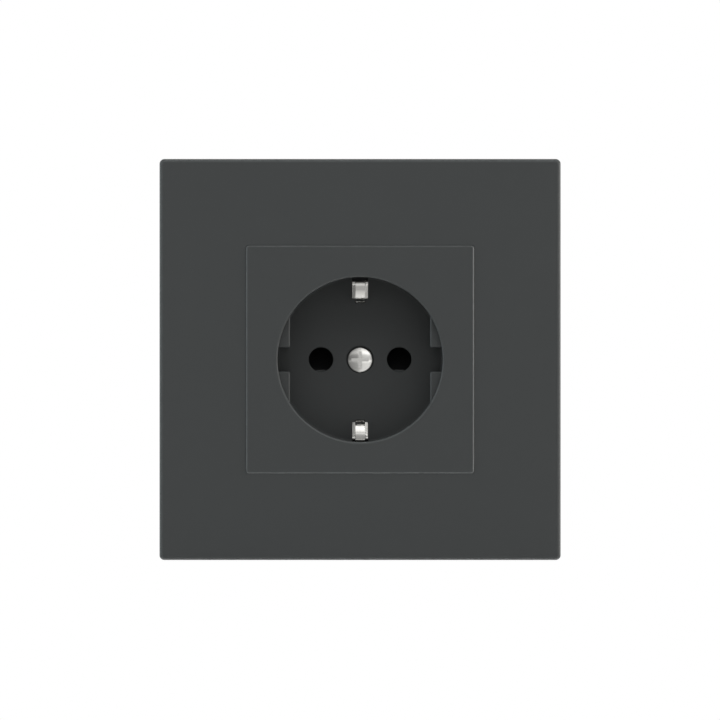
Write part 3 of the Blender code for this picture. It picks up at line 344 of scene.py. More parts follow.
class OutletColours(bpy.types.PropertyGroup):
    """Colours and finishes of the materials."""

    cover: colour("Cover plastic", "Anthracite plastic of frame and centre plate", srgb(52, 54, 54))
    insert: colour("Insert plastic", "Black thermoset of the insert", srgb(26, 26, 27))
    button: colour("Button plastic", "Grey plastic of the release buttons", srgb(150, 152, 154))
    screw: colour("Screw plate", "Bright plate of the centre screw", srgb(220, 219, 215))
    nickel: colour("Nickel", "Nickel plate of the earth contacts and their strap", srgb(196, 195, 191))
    zinc: colour("Zinc", "Zinc plate of the ring, rivets and claws", srgb(190, 194, 198))
    steel: colour("Spring steel", "Bare steel of the springs", srgb(170, 172, 176))
    brass: colour("Brass", "Brass of the pin contacts and claw nuts", srgb(205, 170, 105))
    cover_roughness: share("Cover roughness", "Roughness of the anthracite plastic", 0.48)
    cover_gloss: share("Cover gloss", "Specular level of the anthracite plastic", 0.3)
    nickel_roughness: share("Nickel roughness", "Roughness of the nickel plate", 0.16)


# Shapes


def unit(vectors):
    """Vectors scaled to length 1."""
    return vectors / np.linalg.norm(vectors, axis=-1, keepdims=True)


def rounded_path(corners, radii, closed=True, steps=EDGE_STEPS):
    """Polyline whose corners are arcs.

    An arc's centre lies radius / sin(half angle) from its corner along the bisector. The arc sweeps pi
    minus the corner's angle, from the tangent point on one side to that on the other.
    """
    corners = np.array(corners, float)
    radii = np.array(radii, float)[:, None]
    back = unit(np.roll(corners, 1, 0) - corners)
    ahead = unit(np.roll(corners, -1, 0) - corners)
    half = np.arccos(np.clip((back * ahead).sum(1), -1, 1))[:, None] / 2
    centre = corners + unit(back + ahead) * radii / np.sin(half)
    start = corners + back * radii / np.tan(half) - centre
    end = corners + ahead * radii / np.tan(half) - centre
    turn = np.sign(start[:, :1] * end[:, 1:] - start[:, 1:] * end[:, :1])
    sweep = turn * (np.pi - 2 * half) * np.linspace(0, 1, steps + 1)
    angle = np.arctan2(start[:, 1:], start[:, :1]) + sweep
    arcs = centre[:, None] + radii[:, None] * np.stack([np.cos(angle), np.sin(angle)], -1)
    if closed:
        return arcs.reshape(-1, 2)
    return np.concatenate([corners[:1], arcs[1:-1].reshape(-1, 2), corners[-1:]])


def worn_and_highlit_path(path, wear_and_highlight, kind, fade):
    """Path with two more points in each long step, a fade from its ends, where no wear or painted
    highlight is put.

    A new point keeps the kind of the end that it is near.
    """
    after = np.roll(path, -1, 0)
    run = np.linalg.norm(after - path, axis=1)
    step = (after - path) / np.maximum(run, SHORTEST_RUN)[:, None] * fade
    long = np.nonzero(run > 4 * fade)[0]
    places = np.repeat(long + 1, 2)
    points = np.stack([path + step, after - step], 1)[long].reshape(-1, 2)
    kinds = np.stack([kind, np.roll(kind, -1)], 1)[long].ravel()
    path = np.insert(path, places, points, 0)
    return path, np.insert(wear_and_highlight, places, 0.0), np.insert(kind, places, kinds)


def loop_angles(steps=CORNER_STEPS):
    """Directions of the points round a rounded rectangle: a quarter turn at each corner."""
    quarter = np.linspace(0, np.pi / 2, steps + 1)
    return (np.arange(4)[:, None] * np.pi / 2 + quarter).ravel()


def rectangle_loops(half_x, half_z, corner, steps=CORNER_STEPS):
    """Rounded rectangles, one per entry: quarter circles round the corner centres (half - corner)."""
    half_x, half_z, corner = (np.array(size, float).reshape(-1, 1) for size in (half_x, half_z, corner))
    angle = loop_angles(steps)
    side_x = np.repeat([1, -1, -1, 1], steps + 1)
    side_z = np.repeat([1, 1, -1, -1], steps + 1)
    x = side_x * (half_x - corner) + corner * np.cos(angle)
    z = side_z * (half_z - corner) + corner * np.sin(angle)
    return np.stack(np.broadcast_arrays(x, z), -1)


def polar_square(angle, half, corner):
    """Radius of a rounded square at each angle: half / cos, or the corner circle's far root."""
    near = np.maximum(np.abs(np.cos(angle)), np.abs(np.sin(angle)))
    far = np.minimum(np.abs(np.cos(angle)), np.abs(np.sin(angle)))
    inner = half - corner
    middle = inner * (near + far)
    arc = middle + np.sqrt(np.maximum(middle**2 - 2 * inner**2 + corner**2, 0))
    return np.where(half / near * far <= inner, half / near, arc)


def span(side, near, far):
    """Range between two places on one side of the middle, low end first."""
    return sorted((side * near, side * far))


def at_depth(loops, y):
    """Loops of (x, z) points set at their depths y."""
    y = np.broadcast_to(np.array(y, float)[:, None], loops.shape[:2])
    return np.stack([loops[..., 0], y, loops[..., 1]], -1)


def turned(radius, y, x=0.0, z=0.0, columns=RING_COLUMNS):
    """Surface of revolution about a line along Y: x + r cos(angle), y, z + r sin(angle)."""
    angle = np.linspace(0, 2 * np.pi, columns, endpoint=False)
    radius = np.broadcast_to(np.array(radius, float).reshape(len(y), -1), (len(y), columns))
    loops = np.stack([x + radius * np.cos(angle), z + radius * np.sin(angle)], -1)
    return at_depth(loops, y)


def thread(radius, start, end, sizes, columns=THREAD_COLUMNS):
    """Rows of a helical thread: the radius drops by a raised cosine of turns along minus turns round."""
    pitch, depth = sizes.thread_pitch, sizes.thread_depth
    y = np.linspace(start, end, int((end - start) / pitch * THREAD_ROWS))
    angle = np.linspace(0, 2 * np.pi, columns, endpoint=False)
    phase = 2 * np.pi * (y - start)[:, None] / pitch - angle
    to_end = (end - y) / pitch
    fade = np.clip((y - start) / pitch, 0, 1) * np.clip(to_end, 0, 1)
    drop = depth * (0.5 + 0.5 * np.cos(phase)) * fade[:, None]
    taper = depth * np.clip(1 - to_end, 0, 1)
    return radius - drop - taper[:, None], y


def block(x_range, y_range, z_range, edge):
    """Rectangular bar along Y, with rounded sides, whose last ring is drawn in over a quarter circle."""
    half_x, half_z = (x_range[1] - x_range[0]) / 2, (z_range[1] - z_range[0]) / 2
    angle = np.linspace(0, np.pi / 2, EDGE_STEPS + 1)
    inset = np.concatenate([[0.0], edge * (1 - np.cos(angle))])
    y = np.concatenate([[y_range[0]], y_range[1] - edge * (1 - np.sin(angle))])
    loops = rectangle_loops(half_x - inset, half_z - inset, 2 * edge - inset, EDGE_STEPS)
    return at_depth(loops + [sum(x_range) / 2, sum(z_range) / 2], y)


def path_normals(path):
    """Left-hand normals of a path in a plane, from its central differences."""
    along = unit(np.gradient(path, axis=0))
    return np.stack([-along[:, 1], along[:, 0]], -1)


def bent_path(start, stations, angles, steps):
    """Path inwards and back from a start (radius, y).

    Its angle from the inward direction runs straight between the stations along its length, and the
    small steps (cosine, sine) of that angle add up.
    """
    along = np.linspace(0, stations[-1], steps)
    angle = np.radians(np.interp(along, stations, angles))
    middle = (angle[1:] + angle[:-1]) / 2
    moves = np.stack([-np.cos(middle), np.sin(middle)], -1) * along[1]
    return np.array(start) + np.concatenate([np.zeros((1, 2)), np.cumsum(moves, 0)])


def ribbon(path, half_width, thickness, tilt, centre_x, side_z):
    """Strip of sheet along a path of (radius, y): a rounded rectangle across it, tilted to one side.

    A point is the path's point plus its normal times the offset, and x runs across the strip.
    """
    half_width = np.broadcast_to(half_width, len(path))
    tilt = np.broadcast_to(tilt, len(path))[:, None]
    half_thickness = np.full(len(path), thickness / 2)
    section = rectangle_loops(half_width, half_thickness, half_thickness / 2, STRIP_STEPS)
    across = section[..., 0]
    offset = section[..., 1] - tilt * across
    normal = path_normals(path)
    radius = path[:, :1] + normal[:, :1] * offset
    y = path[:, 1:] + normal[:, 1:] * offset
    return np.stack([centre_x + across, y, side_z * radius], -1)


def coil(centre, radius, low, high, wire):
    """Helical tube: its middle line is centre + radius (cos, sin), rising evenly between end turns."""
    turns = COIL_TURNS + 2
    angle = np.linspace(0, 2 * np.pi * turns, turns * COIL_STEPS + 1)
    heights = [low + wire / 2, low + 1.5 * wire, high - 1.5 * wire, high - wire / 2]
    out = np.stack([np.cos(angle), np.sin(angle), np.zeros_like(angle)], -1)
    middle = np.array([*centre, 0.0]) + radius * out
    middle[:, 2] = np.interp(angle / (2 * np.pi), [0, 1, turns - 1, turns], heights)
    around = np.linspace(0, 2 * np.pi, COIL_COLUMNS, endpoint=False)[None, :, None]
    up = np.array([0.0, 0.0, 1.0])
    return middle[:, None] + wire / 2 * (np.cos(around) * out[:, None] + np.sin(around) * up)


# Meshes


def patch(points, ring=False, wear_and_highlight=None):
    """Grid of closed rows as points, faces and edge wear with painted highlight. A ring joins its last
    row to its first.

    Other grids get a cap at each end.
    """
    rows, columns = points.shape[:2]
    row = np.arange(rows if ring else rows - 1)[:, None]
    column = np.arange(columns)
    below, right = (row + 1) % rows, (column + 1) % columns
    corners = ((row, column), (row, right), (below, right), (below, column))
    faces = np.stack([down * columns + along for down, along in corners], -1).reshape(-1, 4).tolist()
    if not ring:
        faces.append(list(range(columns))[::-1])
        faces.append(list(range((rows - 1) * columns, rows * columns)))
    wear_and_highlight = np.zeros((rows, 1)) if wear_and_highlight is None else np.array(wear_and_highlight, float).reshape(rows, -1)
    return points.reshape(-1, 3), faces, np.broadcast_to(wear_and_highlight, (rows, columns)).ravel()


def add_object(name, data):
    """New object in the scene."""
    made = bpy.data.objects.new(name, data)
    bpy.context.scene.collection.objects.link(made)
    return made


def discard(made):
    """Removes an object and its mesh."""
    mesh = made.data
    bpy.data.objects.remove(made)
    bpy.data.meshes.remove(mesh)


def solid(name, *patches):
    """Mesh object of closed patches whose faces point outwards."""
    points, faces, wear_and_highlight = zip(*patches)
    starts = np.cumsum([0] + [len(some) for some in points])
    mesh = bpy.data.meshes.new(name)
    joined = [[int(start + i) for i in face] for start, some in zip(starts, faces) for face in some]
    mesh.from_pydata(np.concatenate(points).tolist(), [], joined)
    # The edge attribute carries the edge wear and painted highlight of each point.
    edge = mesh.attributes.new("edge", "FLOAT", "POINT")
    edge.data.foreach_set("value", np.concatenate(wear_and_highlight).astype(np.float32))
    edit = bmesh.new()
    edit.from_mesh(mesh)
    bmesh.ops.recalc_face_normals(edit, faces=edit.faces)
    edit.to_mesh(mesh)
    edit.free()
    return add_object(name, mesh)


def carve(made, *cutters):
    """Takes cutters out of a mesh object and removes them."""
    for cutter in cutters:
        tool = made.modifiers.new("Cut", "BOOLEAN")
        tool.operation = "DIFFERENCE"
        tool.solver = "EXACT"
        tool.object = cutter
    graph = bpy.context.evaluated_depsgraph_get()
    old = made.data
    made.data = bpy.data.meshes.new_from_object(made.evaluated_get(graph))
    made.modifiers.clear()
    bpy.data.meshes.remove(old)
    for cutter in cutters:
        discard(cutter)
    made.data.name = made.name


def merge(made, other):
    """Adds another object's closed shells to a mesh object and removes that object."""
    edit = bmesh.new()
    edit.from_mesh(made.data)
    edit.from_mesh(other.data)
    edit.to_mesh(made.data)
    edit.free()
    discard(other)


def finish_piece(made, material, body, slot, *nodes, flat_faces=True, crease=CREASE):
    """Shades a piece, smooth up to the crease's angle, and puts it in the place of its CAD nodes."""
    made.data.polygons.foreach_set("use_smooth", np.ones(len(made.data.polygons), bool))
    made.data.set_sharp_from_angle(angle=crease)
    made.data.materials.clear()
    made.data.materials.append(bpy.data.materials[material])
    if flat_faces:
        normals = made.modifiers.new("Weighted normals", "WEIGHTED_NORMAL")
        normals.keep_sharp = True
    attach(made, body)
    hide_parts(*nodes)


def softened(node, suffix, width, material, body, slot):
    """Copy of a CAD node, merged to whole faces, with rounded edges."""
    mesh = NODES[node].data.copy()
    edit = bmesh.new()
    edit.from_mesh(mesh)
    bmesh.ops.remove_doubles(edit, verts=edit.verts, dist=MERGE_DISTANCE)
    bmesh.ops.dissolve_limit(edit, angle_limit=MERGE_ANGLE, verts=edit.verts, edges=edit.edges)
    edit.to_mesh(mesh)
    edit.free()
    mesh.name = f"{node}_{suffix}"
    made = add_object(mesh.name, mesh)
    bevel = made.modifiers.new("Rounded edges", "BEVEL")
    bevel.width = width
    bevel.segments = BEVEL_SEGMENTS
    bevel.limit_method = "ANGLE"
    bevel.angle_limit = BEVEL_ANGLE
    finish_piece(made, material, body, slot, node)
    return made


def draw_in(made, half, gap):
    """Moves the points of a mesh object at x = half and x = -half inwards by a gap."""
    points = np.array([vertex.co for vertex in made.data.vertices])
    ends = np.isclose(np.abs(points[:, 0]), half, atol=gap / 5)
    points[ends, 0] -= np.sign(points[ends, 0]) * gap
    made.data.vertices.foreach_set("co", points.ravel().astype(np.float32))


# Materials


def set_inputs(tree, node, inputs):
    """Sets a node's inputs to values or links them."""
    for key, value in inputs.items():
        if isinstance(value, bpy.types.NodeSocket):
            tree.links.new(value, node.inputs[key])
        else:
            node.inputs[key].default_value = value


def add_node(tree, kind, inputs=None, **settings):
    """New shader node with its settings and inputs."""
    made = tree.nodes.new(kind)
    for key, value in settings.items():
        setattr(made, key, value)
    set_inputs(tree, made, inputs or {})
    return made


def noise(tree, place, scale, detail, roughness=0.5, distortion=0.0):
    """Value of a noise texture."""
    inputs = {"Vector": place, "Scale": scale, "Detail": detail, "Roughness": roughness}
    return add_node(tree, "ShaderNodeTexNoise", {**inputs, "Distortion": distortion}).outputs["Fac"]


def calculated(tree, operation, first, second):
    """Result of a calculation with two values."""
    return add_node(tree, "ShaderNodeMath", {0: first, 1: second}, operation=operation).outputs[0]


def mapped(tree, value, before=(0.0, 1.0), after=(0.0, 1.0)):
    """A value carried evenly from one range to another."""
    keys = ("Value", "From Min", "From Max", "To Min", "To Max")
    inputs = dict(zip(keys, (value, *before, *after)))
    return add_node(tree, "ShaderNodeMapRange", inputs).outputs["Result"]


def mixed(tree, amount, first, second, blend="MIX"):
    """Mix of two colours."""
    inputs = {0: amount, 6: first, 7: second}
    return add_node(tree, "ShaderNodeMix", inputs, data_type="RGBA", blend_type=blend).outputs[2]


def times(colour_value, factor):
    """Colour times a factor, with its alpha."""
    return tuple(min(factor * value, 1.0) for value in colour_value) + (1.0,)


def tinted(tree, colour_value, contrast, tone):
    """The colour, darkened or lightened by up to the contrast, by a tone from 0 to 1."""
    return mixed(tree, tone, times(colour_value, 1 - contrast), times(colour_value, 1 + contrast))


def new_group(name, inputs, outputs):
    """Empty shader node group with named sockets, the outputs of its input node, and its output node."""
    tree = bpy.data.node_groups.new(name, "ShaderNodeTree")
    for way, sockets in (("INPUT", inputs), ("OUTPUT", outputs)):
        for socket in sockets:
            kind = "NodeSocketVector" if socket in VECTOR_SOCKETS else "NodeSocketFloat"
            tree.interface.new_socket(name=socket, in_out=way, socket_type=kind)
    return tree, tree.nodes.new("NodeGroupInput").outputs, tree.nodes.new("NodeGroupOutput")


def fine_grain_group():
    """Spark-eroded mould texture: close noise as height, and a slow tone for the whole surface."""
    tree, inside, outside = new_group("Fine grain", ("Vector", "Scale"), ("Height", "Tone"))
    slow = calculated(tree, "MULTIPLY", inside["Scale"], SLOW_GRAIN)
    set_inputs(tree, outside, {
        "Height": noise(tree, inside["Vector"], inside["Scale"], detail=3.0, roughness=0.6),
        "Tone": noise(tree, inside["Vector"], slow, detail=4.0, roughness=0.55),
    })


def handling_group():
    """Film left by handling: broad soft patches with broken edges."""
    tree, inside, outside = new_group("Handling film", ("Vector", "Scale"), ("Mask",))
    broad = noise(tree, inside["Vector"], inside["Scale"], detail=5.0, roughness=0.6, distortion=0.6)
    set_inputs(tree, outside, {"Mask": mapped(tree, broad, before=(0.42, 0.68))})


def rubbed_and_highlit_edge_group():
    """Rubbed edges with a painted highlight: the piece's edge value, broken up by noise."""
    tree, inside, outside = new_group("Rubbed edge", ("Vector", "Edge"), ("Mask",))
    spots = noise(tree, inside["Vector"], RUB_AND_HIGHLIGHT_SCALE, detail=3.0)
    broken = mapped(tree, spots, before=(0.3, 0.65), after=(0.55, 1.0))
    set_inputs(tree, outside, {"Mask": calculated(tree, "MULTIPLY", inside["Edge"], broken)})


def drawn_metal_group():
    """Drawing lines of sheet and wire: noise stretched along one axis by a scale vector."""
    tree, inside, outside = new_group("Drawn metal", ("Vector", "Stretch"), ("Height", "Tone"))
    factors = {0: inside["Vector"], 1: inside["Stretch"]}
    pulled = add_node(tree, "ShaderNodeVectorMath", factors, operation="MULTIPLY").outputs[0]
    set_inputs(tree, outside, {
        "Height": noise(tree, pulled, 1.0, detail=4.0, roughness=0.65),
        "Tone": noise(tree, inside["Vector"], BLOOM_SCALE, detail=4.0),
    })


def new_material(name):
    """Material with its node tree, its Principled shader and Object coordinates."""
    material = bpy.data.materials.new(name)
    material.use_nodes = True
    tree = material.node_tree
    place = add_node(tree, "ShaderNodeTexCoord").outputs["Object"]
    return material, tree, tree.nodes["Principled BSDF"], place


def place_group(tree, name, **inputs):
    """Outputs of a shared effect that is placed in a material."""
    return add_node(tree, "ShaderNodeGroup", inputs, node_tree=bpy.data.node_groups[name]).outputs


def filmed(tree, place, roughness, scale, change):
    """Roughness that a handling film changes."""
    film = place_group(tree, "Handling film", Vector=place, Scale=scale)
    return mapped(tree, film["Mask"], after=(roughness, min(roughness + change, 1.0)))


def bumped(tree, height, strength, depth):
    """Normals of a height."""
    inputs = {"Height": height, "Strength": strength, "Distance": depth}
    return add_node(tree, "ShaderNodeBump", inputs).outputs["Normal"]


def plastic(name, colour_value, roughness, gloss, grain_scale, grain_depth):
    """Moulded plastic: the mould's tone and grain, a film in the roughness, and rubbed edges lightened
    as painted highlight.
    """
    _, tree, shader, place = new_material(name)
    grain = place_group(tree, "Fine grain", Vector=place, Scale=grain_scale)
    # Edge wear and painted highlight from the edge attribute, which lightens the colour along edges.
    edge = add_node(tree, "ShaderNodeAttribute", attribute_name="edge", attribute_type="GEOMETRY")
    rubbed_and_highlit = place_group(tree, "Rubbed edge", Vector=place, Edge=edge.outputs["Fac"])
    worn_and_highlit = calculated(tree, "MULTIPLY", rubbed_and_highlit["Mask"], RUB_AND_HIGHLIGHT_SHARE)
    base = tinted(tree, colour_value, PLASTIC_CONTRAST, grain["Tone"])
    set_inputs(tree, shader, {
        "Base Color": mixed(tree, worn_and_highlit, base, times(colour_value, RUB_AND_HIGHLIGHT_TINT)),
        "Roughness": filmed(tree, place, roughness, *PLASTIC_FILM),
        "Normal": bumped(tree, grain["Height"], PLASTIC_BUMP, grain_depth),
        "Specular IOR Level": gloss,
    })


def metal(name, colour_value, roughness, stretch, depth, contrast=0.08):
    """Plated or bare metal: drawing lines in the bump, bloom in the tone, a film in the roughness."""
    _, tree, shader, place = new_material(name)
    drawn = place_group(tree, "Drawn metal", Vector=place, Stretch=stretch)
    set_inputs(tree, shader, {
        "Base Color": tinted(tree, colour_value, contrast, drawn["Tone"]),
        "Roughness": filmed(tree, place, roughness, *METAL_FILM),
        "Normal": bumped(tree, drawn["Height"], METAL_BUMP, depth),
        "Metallic": 1.0,
    })


class OUTLET_OT_finishes(bpy.types.Operator):
    """Makes the shared effects and the materials"""

    bl_idname = "outlet.finishes"
    bl_label = "Finishes"

    def execute(self, context):
        colours = context.scene.outlet_colours
        fine_grain_group()
        handling_group()
        rubbed_and_highlit_edge_group()
        drawn_metal_group()
        # Name, colour, roughness, gloss, scale and depth of the grain
        cover = (colours.cover, colours.cover_roughness, colours.cover_gloss)
        plastic("Anthracite plastic", *cover, 9000.0, 6e-6)
        plastic("Black thermoset", colours.insert, 0.55, 0.35, 5000.0, 1e-5)
        plastic("Grey plastic", colours.button, 0.42, 0.4, 7000.0, 5e-6)
        # Name, colour, roughness, scale of the drawing lines on each axis, their depth, bloom's contrast
        metal("Bright plate", colours.screw, 0.16, (900.0, 900.0, 900.0), 1e-6)
        metal("Nickel plate", colours.nickel, colours.nickel_roughness, (9000.0, 900.0, 900.0), 1e-6)
        metal("Zinc plate", colours.zinc, 0.36, (4000.0, 500.0, 500.0), 4e-6, 0.16)
        metal("Spring steel", colours.steel, 0.3, (6000.0, 6000.0, 600.0), 2e-6)
        metal("Brass sheet", colours.brass, 0.28, (5000.0, 500.0, 5000.0), 2e-6, 0.12)
        return {"FINISHED"}


class OUTLET_OT_cover_frame(bpy.types.Operator):
    """Makes the square cover frame"""

    bl_idname = "outlet.cover_frame"
    bl_label = "Cover frame"

    def execute(self, context):
        sizes = context.scene.outlet_sizes
        opening = PLATE_HALF + sizes.plate_gap
        ledge = opening - sizes.ledge_width
        collar = opening + sizes.collar_wall
        inner = FRAME_HALF - sizes.frame_wall
        front = FRONT_Y + sizes.plate_step
        panel_back = front + sizes.frame_panel
        ledge_front = FRONT_Y + sizes.plate_thickness + sizes.seat_gap
        ledge_back = ledge_front + sizes.ledge_thickness
        soft = sizes.soft_edge
        corners = [
            (FRAME_HALF, 0.0), (FRAME_HALF, front), (opening, front), (opening, ledge_front),
            (ledge, ledge_front), (ledge, ledge_back), (collar, ledge_back), (collar, panel_back),
            (inner, panel_back), (inner, 0.0),
        ]
        radii = [soft, sizes.frame_edge, soft / 3, soft, soft, soft, soft, 2 * soft, 3 * soft, soft]
        # Painted highlight on the frame's front edge, partly wear.
        wear_and_highlight = np.repeat([0, FRAME_WEAR_AND_HIGHLIGHT, 0, 0, 0, 0, 0, 0, 0, 0], EDGE_STEPS + 1)
        profile, wear_and_highlight, _ = worn_and_highlit_path(rounded_path(corners, radii), wear_and_highlight, wear_and_highlight, soft)
        angle = loop_angles()
        # Less painted highlight on the frame's right and lower sides, as the light falls there.
        right = (1 - FRAME_RIGHT_HIGHLIGHT) * np.maximum(np.cos(angle), 0)
        lower = (1 - FRAME_LOWER_HIGHLIGHT) * np.maximum(-np.sin(angle), 0)
        wear_and_highlight = wear_and_highlight[:, None] * (1 - right - lower)
        half = profile[:, 0]
        outer = np.maximum(sizes.frame_corner - (FRAME_HALF - half), 2 * soft)
        hole = np.maximum(sizes.plate_corner + half - opening, 2 * soft)
        plan = np.where(half > (FRAME_HALF + opening) / 2, outer, hole)
        shell = patch(at_depth(rectangle_loops(half, half, plan), profile[:, 1]), ring=True, wear_and_highlight=wear_and_highlight)

        reach = (collar - sizes.collar_wall / 2, FRAME_HALF - sizes.frame_wall / 2)
        depth = (panel_back - sizes.frame_panel / 2, panel_back + sizes.frame_rib_depth)
        parts = [shell]
        for side in (-1, 1):
            along = span(side, *reach)
            for place in (-sizes.frame_rib_offset, sizes.frame_rib_offset):
                width = (place - sizes.frame_rib / 2, place + sizes.frame_rib / 2)
                parts.append(patch(block(along, depth, width, soft)))
                parts.append(patch(block(width, depth, along, soft)))
        near = ledge + sizes.ledge_width / 3
        stud_y = (ledge_back - sizes.ledge_thickness / 2, -sizes.stud_end)
        studs = [span(side, near, near + sizes.frame_stud) for side in (-1, 1)]
        parts += [patch(block(stud_x, stud_y, stud_z, 2 * soft)) for stud_x in studs for stud_z in studs]
        made = solid("cover_frame_moulding", *parts)
        finish_piece(made, "Anthracite plastic", "insert", "cover_plastic", "cover_frame")
        return {"FINISHED"}


def guide(sizes, floor, side_x, side_z):
    """One guide of the well: the wall's circle closed by a chord and a slot side.

    Its outline is a quarter circle where chord and slot meet, then the arc inside the wall. It is drawn
    in round the front edge.
    """
    edge = sizes.guide_edge
    chord, slot = sizes.guide_chord / 2, sizes.guide_slot / 2
    outer = (sizes.well_diameter + sizes.well_wall) / 2
    angle = np.linspace(0, np.pi / 2, EDGE_STEPS + 1)
    inset = np.concatenate([edge * (1 - np.sin(angle)), [0.0]])[:, None]
    front = FRONT_Y + sizes.guide_drop
    y = np.concatenate([front + edge * (1 - np.cos(angle)), [floor + sizes.well_floor / 2]])
    bend = np.linspace(np.pi, 1.5 * np.pi, EDGE_STEPS + 1)
    corner = GUIDE_CORNER * edge
    corner_x = chord + corner + (corner - inset) * np.cos(bend)
    corner_z = slot + corner + (corner - inset) * np.sin(bend)
    low = np.arcsin((slot + inset) / outer)
    high = np.arccos((chord + inset) / outer)
    around = low + (high - low) * np.linspace(0, 1, GUIDE_COLUMNS)
    x = np.concatenate([corner_x, outer * np.cos(around)], 1)
    z = np.concatenate([corner_z, outer * np.sin(around)], 1)
    loops = np.stack([side_x * x, side_z * z], -1)
    # Painted highlight round the guide's front edge, partly wear.
    wear_and_highlight = np.concatenate([GUIDE_WEAR_AND_HIGHLIGHT * np.sin(2 * angle), [0.0]])
    return patch(at_depth(loops, y), wear_and_highlight=wear_and_highlight)


def flared_hole(name, radius, edge, floor, steps, x=0.0):
    """Cutter for a hole with a rounded mouth: a quarter circle at the floor, then steps (radius, y)."""
    angle = np.linspace(HOLE_START, np.pi / 2, EDGE_STEPS + 1)
    flare = radius + edge * (1 - np.sin(angle))
    y = floor + edge * (1 - np.cos(angle))
    rows = np.concatenate([[[flare[0], floor - edge]], np.stack([flare, y], -1), np.array(steps)])
    return solid(name, patch(turned(rows[:, 0], rows[:, 1], x)))


class OUTLET_OT_centre_plate(bpy.types.Operator):
    """Makes the centre plate with its round well"""

    bl_idname = "outlet.centre_plate"
    bl_label = "Centre plate"

    def execute(self, context):
        sizes = context.scene.outlet_sizes
        soft = sizes.soft_edge
        well = sizes.well_diameter / 2
        cup = well + sizes.well_wall
        floor = FLOOR_BACK_Y - sizes.well_floor
        plate_back = FRONT_Y + sizes.plate_thickness
        middle = sizes.screw_shank / 3
        corners = [
            (middle, floor), (well, floor), (well, FRONT_Y), (PLATE_HALF - sizes.plate_edge, FRONT_Y),
            (PLATE_HALF, FRONT_Y + sizes.plate_edge), (PLATE_HALF, plate_back),
            (cup, plate_back), (cup, FLOOR_BACK_Y), (middle, FLOOR_BACK_Y),
        ]
        radii = [soft, sizes.well_fillet, sizes.well_edge, soft, soft, soft, sizes.well_fillet,
                 sizes.well_fillet, soft]
        profile = rounded_path(corners, radii, closed=False)
        square = np.pad(np.repeat([0, 0, 1, 1, 1, 0, 0], EDGE_STEPS + 1), 1).astype(bool)
        # Painted highlight on the well's rim and the plate's bevel, partly wear.
        wear_and_highlight = np.pad(np.repeat([0, RIM_WEAR_AND_HIGHLIGHT, PLATE_WEAR_AND_HIGHLIGHT, PLATE_WEAR_AND_HIGHLIGHT, 0, 0, 0], EDGE_STEPS + 1), 1)
        profile, wear_and_highlight, square = worn_and_highlit_path(profile, wear_and_highlight, square, soft)
        corner_angles = np.pi / 4 + np.arange(4)[:, None] * np.pi / 2 + CORNER_COLUMNS
        even = np.linspace(0, 2 * np.pi, WELL_COLUMNS, endpoint=False)
        angle = np.unique(np.concatenate([even, corner_angles.ravel()]).round(9))
        size = profile[:, :1]
        corner = np.maximum(sizes.plate_corner - (PLATE_HALF - size), 2 * soft)
        radius = np.where(square[:, None], polar_square(angle, size, corner), size)
        loops = np.stack([radius * np.cos(angle), radius * np.sin(angle)], -1)
        # More painted highlight on the plate's right and lower sides and on the rim's lower side, where
        # the light falls.
        side = np.where(np.cos(angle) > np.sin(angle), PLATE_LOWER_HIGHLIGHT, 1.0)
        rim = 1 + (RIM_LOWER_HIGHLIGHT - 1) * np.maximum(-np.sin(angle), 0)
        wear_and_highlight = wear_and_highlight[:, None] * np.where(square[:, None], side, rim)
        made = solid("centre_plate_moulding", patch(at_depth(loops, profile[:, 1]), wear_and_highlight=wear_and_highlight))

        behind = FLOOR_BACK_Y + sizes.well_floor
        hole, edge = sizes.pin_hole / 2, sizes.hole_edge
        seat = floor + sizes.recess_depth
        bore = sizes.screw_shank / 2 + sizes.seat_gap
        recess = HEAD_RADIUS + sizes.recess_gap
        steps = [(recess, seat), (bore, seat), (bore, behind)]
        cutters = [flared_hole("recess", recess, edge, floor, steps)]
        wide = sizes.earth_strip / 2 + sizes.earth_rail + sizes.earth_gap
        narrow = sizes.earth_strip / 2 + sizes.earth_gap
        root = well - sizes.earth_root
        for side in (-1, 1):
            place = side * sizes.pin_spacing / 2
            cutters.append(flared_hole("pin", hole, edge, floor, [(hole, behind)], place))
            depth = (FRONT_Y + sizes.earth_slot_drop, behind)
            reach = span(side, well - sizes.earth_slot_reach, cup + soft)
            cutters.append(solid("slot", patch(block((-wide, wide), depth, reach, soft))))
            depth = (floor - soft, behind)
            reach = span(side, root - sizes.earth_gap, root + sizes.earth_swing)
            reach = [place - sizes.earth_sag for place in reach]
            cutters.append(solid("root", patch(block((-narrow, narrow), depth, reach, soft))))
        carve(made, *cutters)

        parts = [guide(sizes, floor, side_x, side_z) for side_x in (-1, 1) for side_z in (-1, 1)]
        rib_y = (plate_back - sizes.plate_thickness / 2, plate_back + sizes.plate_rib_depth)
        start, end = cup - sizes.well_wall / 2, cup + sizes.plate_rib_length
        rib = block((start, end), rib_y, (-sizes.plate_rib / 2, sizes.plate_rib / 2), soft)
        for quarter in range(4):
            turn = np.pi / 4 + quarter * np.pi / 2
            x = rib[..., 0] * np.cos(turn) - rib[..., 2] * np.sin(turn)
            z = rib[..., 0] * np.sin(turn) + rib[..., 2] * np.cos(turn)
            parts.append(patch(np.stack([x, rib[..., 1], z], -1)))
        nub = sizes.nub_width / 2
        height = (-hole - sizes.nub_height, sizes.nub_height - hole)
        for side, drop in NUB_DROPS:
            place = side * sizes.pin_spacing / 2
            depth = (FLOOR_BACK_Y - edge, floor + drop * edge)
            parts.append(patch(block((place - nub, place + nub), depth, height, soft / 2)))
        merge(made, solid("guides", *parts))
        finish_piece(made, "Anthracite plastic", "insert", "cover_plastic", "centre_plate")
        return {"FINISHED"}


